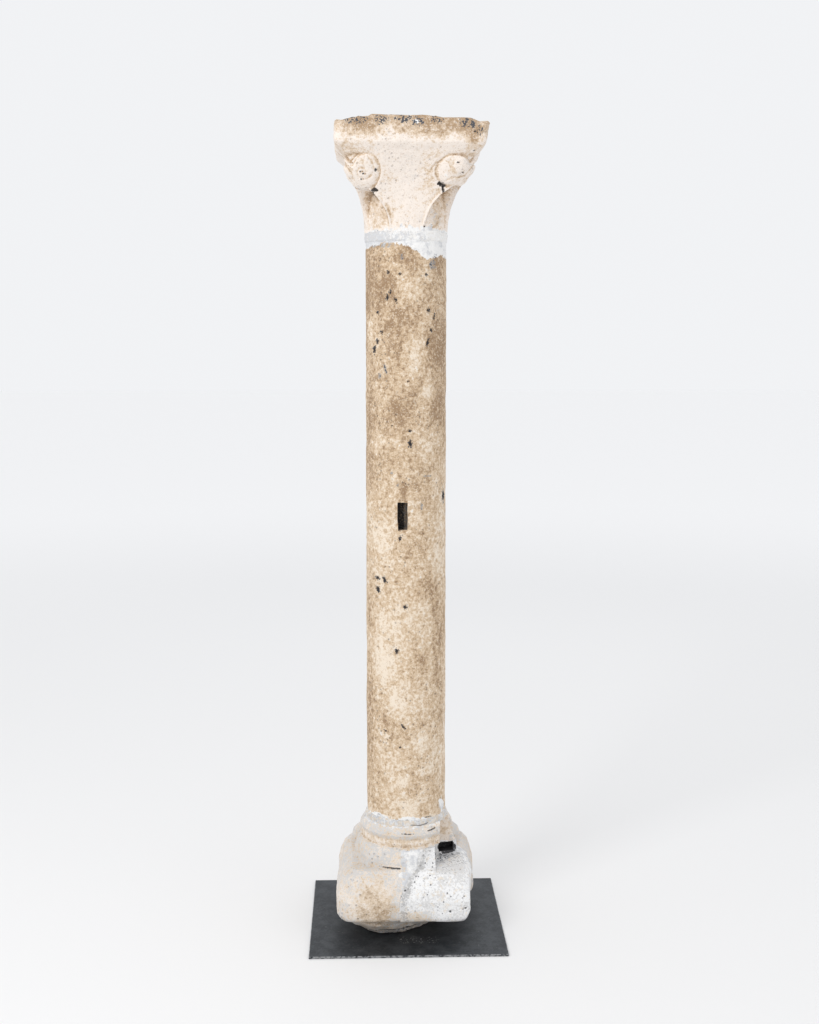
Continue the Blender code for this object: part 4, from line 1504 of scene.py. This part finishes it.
@dataclass(frozen=True)
class Capital:
    """Bell, smooth leaves with curled tips, sunk panels and a worn square abacus."""

    neck: float = 0.0995
    bell: float = 0.176
    face_flare: float = 0.062
    leaf_proud: float = 0.003
    leaf_flare: float = 0.0155
    curl_start: float = 0.0862
    back_curl_start: float = 0.1197
    curl_reach: float = 0.040
    panel: float = 0.107
    panel_half: float = math.radians(21.5)
    panel_flare: float = 0.0095
    abacus: float = 0.357
    chamfer_in: float = 0.018
    chamfer: float = 0.025
    slab: float = 0.0605
    shift: float = 0.0105
    shift_from: float = 0.0704
    columns: int = 540
    rows: int = 180
    pitting: Pitting = Pitting(52, (0.07, 0.05, 0.5), (0.011, 0.12, 0.25), (0.050, 0.14, 0.09))
    strokes: tuple[Stroke, ...] = (
        Stroke(((-0.127, 1.809), (-0.1195, 1.825), (-0.1065, 1.833), (-0.093, 1.829), (-0.0825, 1.817),
                (-0.0765, 1.8)), 0.0042),
        Stroke(((-0.0765, 1.8), (-0.083, 1.786), (-0.0965, 1.778), (-0.11, 1.783), (-0.115, 1.795),
                (-0.108, 1.804), (-0.099, 1.802)), 0.0036),
        Stroke(((-0.0765, 1.8), (-0.074, 1.785), (-0.0735, 1.77)), 0.0036),
        Stroke(((0.0546, 1.802), (0.064, 1.814), (0.0841, 1.821), (0.092, 1.816), (0.097, 1.806)), 0.0042),
        Stroke(((0.095, 1.818), (0.0985, 1.826), (0.1085, 1.832), (0.125, 1.832), (0.1345, 1.826),
                (0.141, 1.814), (0.139, 1.8), (0.1275, 1.788), (0.113, 1.784), (0.097, 1.782),
                (0.083, 1.771)), 0.0042),
    )
    curls: tuple[Curl, ...] = (
        Curl(-QUARTER, -1, 0.1080, 0.1330, 0.037, 0.0400, 0.107, 0.132, 0.0001, 1.0),
        Curl(-QUARTER, 1, 0.1080, 0.1370, 0.043, 0.0340, 0.1185, 0.1465, 0.0210, 1.0),
        Curl(0.0, -1, 0.108, 0.1370, 0.038, 0.0340, 0.112, 0.138, 0.015, 0.35),
        Curl(0.0, 1, 0.108, 0.1450, 0.034, 0.0270, 0.112, 0.146, 0.012, 0.50),
        Curl(math.pi, -1, 0.108, 0.1450, 0.034, 0.0270, 0.112, 0.146, 0.012, 0.45),
        Curl(math.pi, 1, 0.108, 0.1350, 0.038, 0.0360, 0.112, 0.136, 0.015, 0.40),
        Curl(QUARTER, -1, 0.108, 0.1450, 0.034, 0.0270, 0.112, 0.146, 0.012, 0.40),
        Curl(QUARTER, 1, 0.108, 0.1450, 0.034, 0.0270, 0.112, 0.146, 0.012, 0.50),
    )
    # Drilled marks, cut a little into the stone and painted black for the shade inside them
    drilled: tuple[Stroke, ...] = (
        Stroke(((-0.0775, 1.7590), (-0.0830, 1.7548), (-0.0710, 1.7548), (-0.0775, 1.7590)), 0.0040),
        Stroke(((-0.0800, 1.7530), (-0.0820, 1.7460)), 0.0034),
        Stroke(((0.0770, 1.7655), (0.0810, 1.7700), (0.0870, 1.7660), (0.0825, 1.7640)), 0.0042),
        Stroke(((0.0820, 1.7650), (0.0835, 1.7570)), 0.0040),
        Stroke(((0.0835, 1.7570), (0.0850, 1.7450), (0.0855, 1.7330)), 0.0030),
        Stroke(((0.0710, 1.7690), (0.0745, 1.7735)), 0.0034),
    )
    holes: tuple[Spot, ...] = marks(
        (-0.0745, 1.7985, 0.0042, 0.006), (-0.1095, 1.7945, 0.0032, 0.0026), (-0.103, 1.79, 0.0028, 0.003),
        (-0.107, 1.7785, 0.0034, 0.003), (0.114, 1.815, 0.003, 0.003), (0.125, 1.794, 0.0028, 0.0024),
        (0.073, 1.771, 0.005, 0.006, -0.3), (0.0405, 1.674, 0.003, 0.0035), (0.152, 1.883, 0.003, 0.0045),
        (-0.096, 1.742, 0.0022),
    )
    tans: tuple[Spot, ...] = marks(
        (-0.125, 1.86, 0.045, 0.05), (-0.105, 1.905, 0.08, 0.026), (0.125, 1.9, 0.07, 0.026),
        (0.15, 1.87, 0.03, 0.04),
    )
    soots: tuple[Spot, ...] = marks(
        (-0.12, 1.908, 0.042, 0.016), (-0.062, 1.908, 0.026, 0.018), (-0.01, 1.911, 0.034, 0.015),
        (0.02, 1.906, 0.026, 0.02), (0.066, 1.908, 0.022, 0.016), (0.135, 1.901, 0.03, 0.019),
        (0.164, 1.884, 0.011, 0.018), (-0.072, 1.66, 0.009, 0.009),
    )

    @property
    def whole(self) -> float:
        """Returns the capital's height."""
        return self.bell + self.chamfer + self.slab

    def leaf(self, angle: np.ndarray, height: np.ndarray) -> np.ndarray:
        """Measures the leafy bell without its carving.

        Args:
            angle: the direction of each point.
            height: its height above the capital's foot.

        Returns:
            The distance to the surface in each direction.
        """
        share = np.clip(height / self.bell, 0.0, 1.0)
        middle = self.neck + self.face_flare * share**2.2
        start = np.where(np.sin(angle) > 0, self.back_curl_start, self.curl_start)
        curl = np.clip((height - start) / (self.bell - start), 0.0, 1.0)
        corner = self.neck + self.leaf_proud + self.leaf_flare * np.clip(height / start, 0.0, 1.0) ** 1.5
        corner = corner + self.curl_reach * (1 - (1 - curl) ** 1.5)
        sweep = smooth_step(0.2, 0.85, np.tan(from_face(angle)))
        half = middle + (corner - middle) * sweep
        return super_square(half, 2 + 7 * share**2, angle)

    def move_over(self, height: np.ndarray) -> np.ndarray:
        """Returns how far the worn stone stands over to the right at each height."""
        return self.shift * np.maximum(0.0, height - self.shift_from) / (self.whole - self.shift_from)

    def dip(self, angle: np.ndarray) -> np.ndarray:
        """Returns how far the worn top edge lies below the top in each direction.

        Args:
            angle: the direction of each point.

        Returns:
            A depth in metres for each direction.
        """
        right = hill(turned_by(angle, FRONT_RIGHT), 0.75)
        left = hill(turned_by(angle, FRONT_LEFT), 0.3)
        waves = 0.05 * (2 + np.sin(7 * angle + 0.8) + np.sin(3 * angle))
        ends = 0.009 * hill(turned_by(angle, FRONT_RIGHT), 0.15)
        ends = ends + 0.006 * hill(turned_by(angle, FRONT_LEFT), 0.15)
        return 0.012 * (0.6 * right + waves) + 0.009 * left + ends

    def carving(self, angle: np.ndarray, height: np.ndarray, reach: np.ndarray) -> tuple[np.ndarray, ...]:
        """Carves the panels, the leaf edges, the curls, their lines and the drilled marks.

        Args:
            angle: the direction of each point.
            height: its height above the capital's foot.
            reach: its distance from the axis, before the carving.

        Returns:
            The new distance, and how dark each point is painted: black in the drilled marks for the shade
            inside them, and faint in the lines.
        """
        off = (angle - EIGHTH) % QUARTER
        off = np.where(off > EIGHTH, off - QUARTER, off)
        rise = height / self.panel
        spread = self.panel_half * np.clip(1 - np.maximum(rise, 0) ** 2.1, 0.0, 1.0) ** 0.85
        edge = (np.abs(off) - spread) * reach
        slope = np.where(rise > 0.75, 0.75, 1.0)
        edge = np.where(rise < 1.0, edge * slope, np.hypot(off * reach, height - self.panel))
        floor = self.neck - 0.0015 + self.panel_flare * rise
        sunk = (1 - smooth_step(-0.0028, 0.0012, edge)) * (rise < 1.02)
        carved = reach + (np.minimum(reach, floor) - reach) * sunk
        carved = carved + 0.0042 * self.ridge(edge, rise)
        lobes, stand = np.zeros_like(reach), np.zeros_like(reach)
        for curl in self.curls:
            lobe, out = curl.shape(angle, height, reach)
            lobes = np.maximum(lobes, lobe)
            stand = np.where(np.abs(out) > np.abs(stand), out, stand)
        carved = carved + (reach - carved) * lobes + stand
        lines, holes = np.zeros_like(reach), np.zeros_like(reach)
        front = turned_by(angle, FRONT) < math.radians(48)
        across = reach * np.cos(angle) + self.move_over(height)
        for stroke in self.strokes:
            lines = np.maximum(lines, stroke.share(across, CAPITAL_FOOT + height) * front)
        # The drilled marks are cut a little in and painted dark for the shade inside them
        across = carved * np.cos(angle) + self.move_over(height)
        for stroke in self.drilled:
            holes = np.maximum(holes, stroke.share(across, CAPITAL_FOOT + height) * front)
        return carved - 0.0060 * holes - 0.0026 * lines, np.maximum(holes, 0.12 * lines)

    def ridge(self, edge: np.ndarray, rise: np.ndarray) -> np.ndarray:
        """Returns the share of each point that lies on the raised edge of a leaf."""
        low = smooth_step(0.03, 0.25, rise) * (rise < 1.15) * np.where(rise > 1.0, 0.3, 1.0)
        return np.exp(-(((edge - 0.0022) / 0.0026) ** 2)) * low

    def skin(self, around: np.ndarray, along: np.ndarray) -> np.ndarray:
        """Places the points of the capital's skin.

        Args:
            around: shares of a turn.
            along: shares from the middle of its underside to the middle of its top.

        Returns:
            The points, one row each.
        """
        # The columns stand closer together at the corners, where the curls are
        quarter = np.floor(around * 4)
        off = 2 * (around * 4 - quarter) - 1
        angle = quarter * QUARTER + EIGHTH * (1 + np.sign(off) * np.abs(off) ** 1.25)
        start, end = 0.02, 0.86
        whole = self.whole
        up = np.clip((along - start) / (end - start), 0.0, 1.0)
        height = whole * up
        reach = self.leaf(angle, np.minimum(height, self.bell))
        reach, __ = self.carving(angle, height, reach)
        half = self.abacus / 2
        chamfer = smooth_step(self.bell - 0.004, self.bell + self.chamfer, height)
        slab_half = half - self.chamfer_in * (1 - chamfer)
        wane = np.where(np.cos(angle) < 0, 0.011 * (1 - smooth_step(0.172, 0.214, height)), 0.0)
        wane = np.where(np.cos(angle) > 0, 0.009 * (1 - smooth_step(0.176, 0.238, height)), wane)
        wane = wane * smooth_step(0.5, 0.8, np.abs(np.cos(angle)))
        slab = super_square(slab_half, np.full_like(angle, 22.0), angle)
        ledge = smooth_step(self.bell - 0.0035, self.bell + 0.0015, height)
        radius = reach + (slab - reach) * ledge
        on_top = np.clip((along - end) / (1 - end), 0.0, 1.0)
        rounding = smooth_step(whole - 0.006, whole, height)
        radius = radius - wane * smooth_step(0.135, 0.175, height)
        radius = (radius - 0.005 * rounding) * (1 - on_top)
        points = placed(radius, angle, CAPITAL_FOOT + height)
        weather = Weather(51)
        top = smooth_step(self.bell, self.bell + 0.01, height)
        wear = (0.0009 + 0.0007 * top) * weather.layers(points, 0.030, 4)
        wear = wear + 0.0005 * weather.layers(points, 0.009, 2, 30)
        pits = self.pitting.depth(points)
        held = smooth_step(0.0, 0.03, radius) * np.clip(along / start, 0.0, 1.0)
        radius = radius + held * (wear + 0.0022 * top * slow_wave(angle, height))
        radius = radius - held * (0.0025 * pits + 0.0055 * spots(self.holes, points))
        under = np.minimum(1.0, along / start)
        radius = radius * under
        rim = 1 - smooth_step(0.0, 0.30, on_top)
        chips = np.maximum(0.0, weather.layers(points, 0.035, 4, 70) - 0.15)
        low = self.dip(angle) * smooth_step(whole - 0.030, whole, height) * rim
        low = low + 0.006 * chips * smooth_step(whole - 0.012, whole, height) * rim
        low = low + 0.0010 * (1 + weather.layers(points, 0.02, 3, 90)) * (on_top > 0)
        height = np.where(up > 0, height - low, 0.0)
        x = radius * np.cos(angle) + self.move_over(height)
        z = np.minimum(CAPITAL_FOOT + height, CAPITAL_TOP)
        return np.stack([x, radius * np.sin(angle), z], axis=1)

    def build(self) -> bpy.types.Object:
        """Rolls the capital and keeps its stains.

        Returns:
            The piece.
        """
        piece = Sheet("capital", self.columns, self.rows).roll(self.skin)
        smooth(piece)
        self.stain(piece)
        return piece

    def stain(self, piece: bpy.types.Object) -> None:
        """Keeps the capital's tone, lime, grey, soot and dark places as shares on it, with painted shade in
        its hollows, pits, sunk panels and drilled marks, and painted light across its front.

        Args:
            piece: the stone.
        """
        points = places(piece)
        weather = Weather(53)
        height = points[:, 2] - CAPITAL_FOOT
        x = points[:, 0] - self.move_over(height)
        angle = np.arctan2(points[:, 1], x)
        reach = np.hypot(x, points[:, 1])
        # Painted shade: black in the drilled marks, faint in the carved lines
        __, deep = self.carving(angle, height, self.leaf(angle, np.minimum(height, self.bell)))
        deep = deep * (height < self.bell)
        near_front = turned_by(angle, FRONT) < math.radians(50)
        for stroke in self.drilled:
            deep = np.maximum(deep, stroke.share(points[:, 0], points[:, 2]) * near_front)
        plain = weather.layers(points, 0.05, 4)
        leaf = 1 - smooth_step(self.bell - 0.01, self.bell + 0.01, height)
        front = points[:, 1] < 0
        band = smooth_step(0.196, 0.232, height - 0.012 * plain)
        # Painted light: the middle of the front lighter and its sides darker, as the light falls
        centre = hill(turned_by(angle, FRONT), 0.35) * hill(height - 0.120, 0.09)
        flank = smooth_step(0.100, 0.150, np.abs(points[:, 0] - 0.005)) * hill(height - 0.150, 0.090) * front
        tone = 0.70 + 0.45 * plain - 1.25 * band + 0.5 * centre - 0.55 * flank
        # Painted shade: the sunk panels darker
        panel = hill(turned_by(angle % QUARTER, EIGHTH), 0.38) * (height < self.panel)
        tone = tone - 0.70 * panel - 0.35 * hill(turned_by(angle, FRONT_RIGHT), 0.3) * (height < 0.04)
        tone = tone - 0.35 * spots(self.tans, points)
        # Darker in hollows and lighter on ridges: partly dirt in the grooves, partly painted shade and
        # highlight
        wide, narrow = hollows(piece, 24), hollows(piece, 5)
        relief = 0.45 * np.clip(wide / 0.0022, -1.0, 1.0)
        relief = relief + 0.45 * np.clip(narrow / 0.0007, -1.0, 1.0)
        tone = tone - relief * (1 - smooth_step(0.165, 0.185, height))
        keep_share(piece, "tone", tone)
        lime = 0.72 * (1 - smooth_step(0.0, 0.014, height + 0.012 * weather.layers(points, 0.03, 4, 90)))
        patch = Spot(0.0180, 1.9040, 0.0120, 0.0080)
        keep_share(piece, "lime", np.maximum(lime, patch.share(points)))
        grey = 0.22 * leaf * smooth_step(0.0, 0.6, plain) + 0.15 * panel * smooth_step(-0.2, 0.5, plain)
        on_top = smooth_step(self.whole - 0.008, CAPITAL_TOP - CAPITAL_FOOT, height)
        keep_share(piece, "grey", np.maximum(grey, 0.55 * on_top))
        lichen = 0.55 * on_top * smooth_step(-0.3, 0.5, weather.layers(points, 0.03, 3, 40))
        soot = np.maximum(spots(self.soots, points, 1.1), lichen)
        lines = hill(height - 0.1985, 0.0026) * smooth_step(-0.2, 0.4, weather.soft(points, 0.03, 11))
        lines = lines * 0.30
        keep_share(piece, "soot", np.maximum(soot, lines))
        dark = np.maximum(self.pitting.depth(points) * 0.85, deep)
        keep_share(piece, "dark", np.maximum(dark, spots(self.holes, points)))


@dataclass(frozen=True)
class Studio:
    """The pale floor, the soft lights and the camera at the photograph's angle."""

    sensor: float = 36.0
    lens: float = 1391.5 / 1024 * 36
    away: float = 3.3577
    eye: float = 1.3937
    turn: float = math.radians(-1.9)
    across: float = 0.0085
    pitch: float = math.radians(1.8)
    drop: float = 122.2 / 1024
    lamps: tuple[tuple, ...] = (
        ("key", (-2.4, -3.0, 3.4), (0, 0, 1.0), 1.6, 64),
        ("fill", (2.8, -2.6, 2.0), (0, 0, 0.9), 2.6, 8),
        ("back", (0.5, 3.0, 3.0), (0, 0, 1.2), 2.5, 8),
    )
    warm_white: tuple[float, float, float] = (1.0, 0.985, 0.965)
    sky_white: tuple[float, float, float, float] = (0.97, 0.98, 1.0, 1.0)
    sky_strength: float = 0.91
    floor_side: float = 80.0

    def floor(self) -> None:
        """Lays a wide pale floor, painted lighter far away, where the lamps reach less, so that it meets the
        bright sky.
        """
        bpy.ops.object.select_all(action="DESELECT")
        bpy.ops.mesh.primitive_plane_add(size=self.floor_side, location=(0, 0, 0))
        ground = bpy.context.view_layer.objects.active
        ground.name = "floor"
        desk = Desk("pale_floor")
        away = desk.add("ShaderNodeVectorMath", {"operation": "LENGTH"}, {0: desk.place}, "Value")
        # Painted light: darker near the column, lighter far off to meet the bright sky
        colour = desk.mix(away.step(1.5, 9.0), (0.84, 0.84, 0.84), (0.99, 0.99, 0.99))
        desk.join(colour, desk.shader.inputs["Base Color"])
        desk.join(0.9, desk.shader.inputs["Roughness"])
        ground.data.materials.append(desk.material)

    def lamp(self, name: str, place: tuple, aim: tuple, size: float, power: float) -> None:
        """Hangs one soft square light.

        Args:
            name: what it is called.
            place: where it hangs.
            aim: the point that it faces.
            size: the length of its side.
            power: its power in watts.
        """
        data = bpy.data.lights.new(name, "AREA")
        data.size = size
        data.energy = power
        data.color = self.warm_white
        light = bpy.data.objects.new(name, data)
        light.location = place
        light.rotation_euler = (Vector(place) - Vector(aim)).to_track_quat("Z", "Y").to_euler()
        bpy.context.scene.collection.objects.link(light)

    def sky(self) -> None:
        """Fills the room with even white light."""
        world = bpy.data.worlds.new("studio")
        world.use_nodes = True
        light = world.node_tree.nodes["Background"].inputs
        light["Color"].default_value = self.sky_white
        light["Strength"].default_value = self.sky_strength
        bpy.context.scene.world = world

    def camera(self) -> None:
        """Sets up the camera in front, above the column's middle, looking slightly down."""
        data = bpy.data.cameras.new("camera")
        data.sensor_width = self.sensor
        data.lens = self.lens
        data.shift_y = -self.drop
        viewer = bpy.data.objects.new("camera", data)
        right = Vector((math.cos(self.turn), math.sin(self.turn), 0))
        back = Vector((math.sin(self.turn), -math.cos(self.turn), 0))
        viewer.location = back * self.away + right * self.across + Vector((0, 0, self.eye))
        viewer.rotation_euler = (QUARTER - self.pitch, 0, self.turn)
        bpy.context.scene.collection.objects.link(viewer)
        bpy.context.scene.camera = viewer

    def build(self) -> None:
        """Sets up the whole studio."""
        self.floor()
        for lamp in self.lamps:
            self.lamp(*lamp)
        self.sky()
        self.camera()
        bpy.context.scene.view_settings.view_transform = "Standard"


def plate_finish(finish: bpy.types.Material) -> None:
    """Gives the steel foot plate, which keeps its node, its better finish.

    Args:
        finish: its material.
    """
    plate = bpy.data.objects["steel_foot_plate"]
    for place in plate.material_slots:
        place.material = finish


def main() -> None:
    """Builds the column from the top down, then the studio round it."""
    logging.basicConfig(level=logging.INFO, format="%(name)s: %(message)s")
    cool, pale = (0.30, 0.31, 0.325), (0.56, 0.56, 0.56)
    tan_stone = Limestone(
        "limestone", (0.82, 0.71, 0.58), (0.62, 0.465, 0.31), (0.33, 0.215, 0.125), cool, drawn=2.2
    )
    cream_stone = Limestone(
        "capital_limestone", (0.86, 0.775, 0.70), (0.70, 0.56, 0.42), (0.41, 0.28, 0.17), cool, pores=0.3
    )
    pale_stone = Limestone(
        "pale_limestone", (0.82, 0.74, 0.66), (0.68, 0.555, 0.42), (0.40, 0.29, 0.19), pale
    )
    mortar = Mortar("lime_mortar", CHALK, GREY_CHALK, 0.15).make()
    stained = Mortar("stained_mortar", (0.74, 0.74, 0.74), (0.50, 0.51, 0.53), 0.75).make()
    plaster = Plaster("white_plaster", (0.86, 0.86, 0.86), (0.68, 0.675, 0.67)).make()
    steel = Steel("dark_steel", (0.030, 0.034, 0.040), (0.075, 0.082, 0.090), 0.2285).make()
    stand_in(Capital().build(), "capital_stone", cream_stone.make())
    neck = MortarBed("neck_mortar", 1.6432, 1.6612, 0.0975, 0.0992, 0.0016, 61)
    stand_in(neck.build(0.20, 0.60), "neck_mortar_bed", mortar)
    stand_in(Shaft().build(), "shaft_stone", tan_stone.make())
    foot = MortarBed("foot_mortar", 0.2576, 0.2676, 0.0985, 0.0950, 0.0022, 63)
    stand_in(foot.build(0.0, 0.0), "foot_mortar_bed", stained)
    base = Base()
    stand_in(base.build(), "base_stone", pale_stone.make())
    stand_in(PlasterCorner(base).build(), "base_plaster_corner", plaster)
    plate_finish(steel)
    Studio().build()


if __name__ == "__main__":
    main()
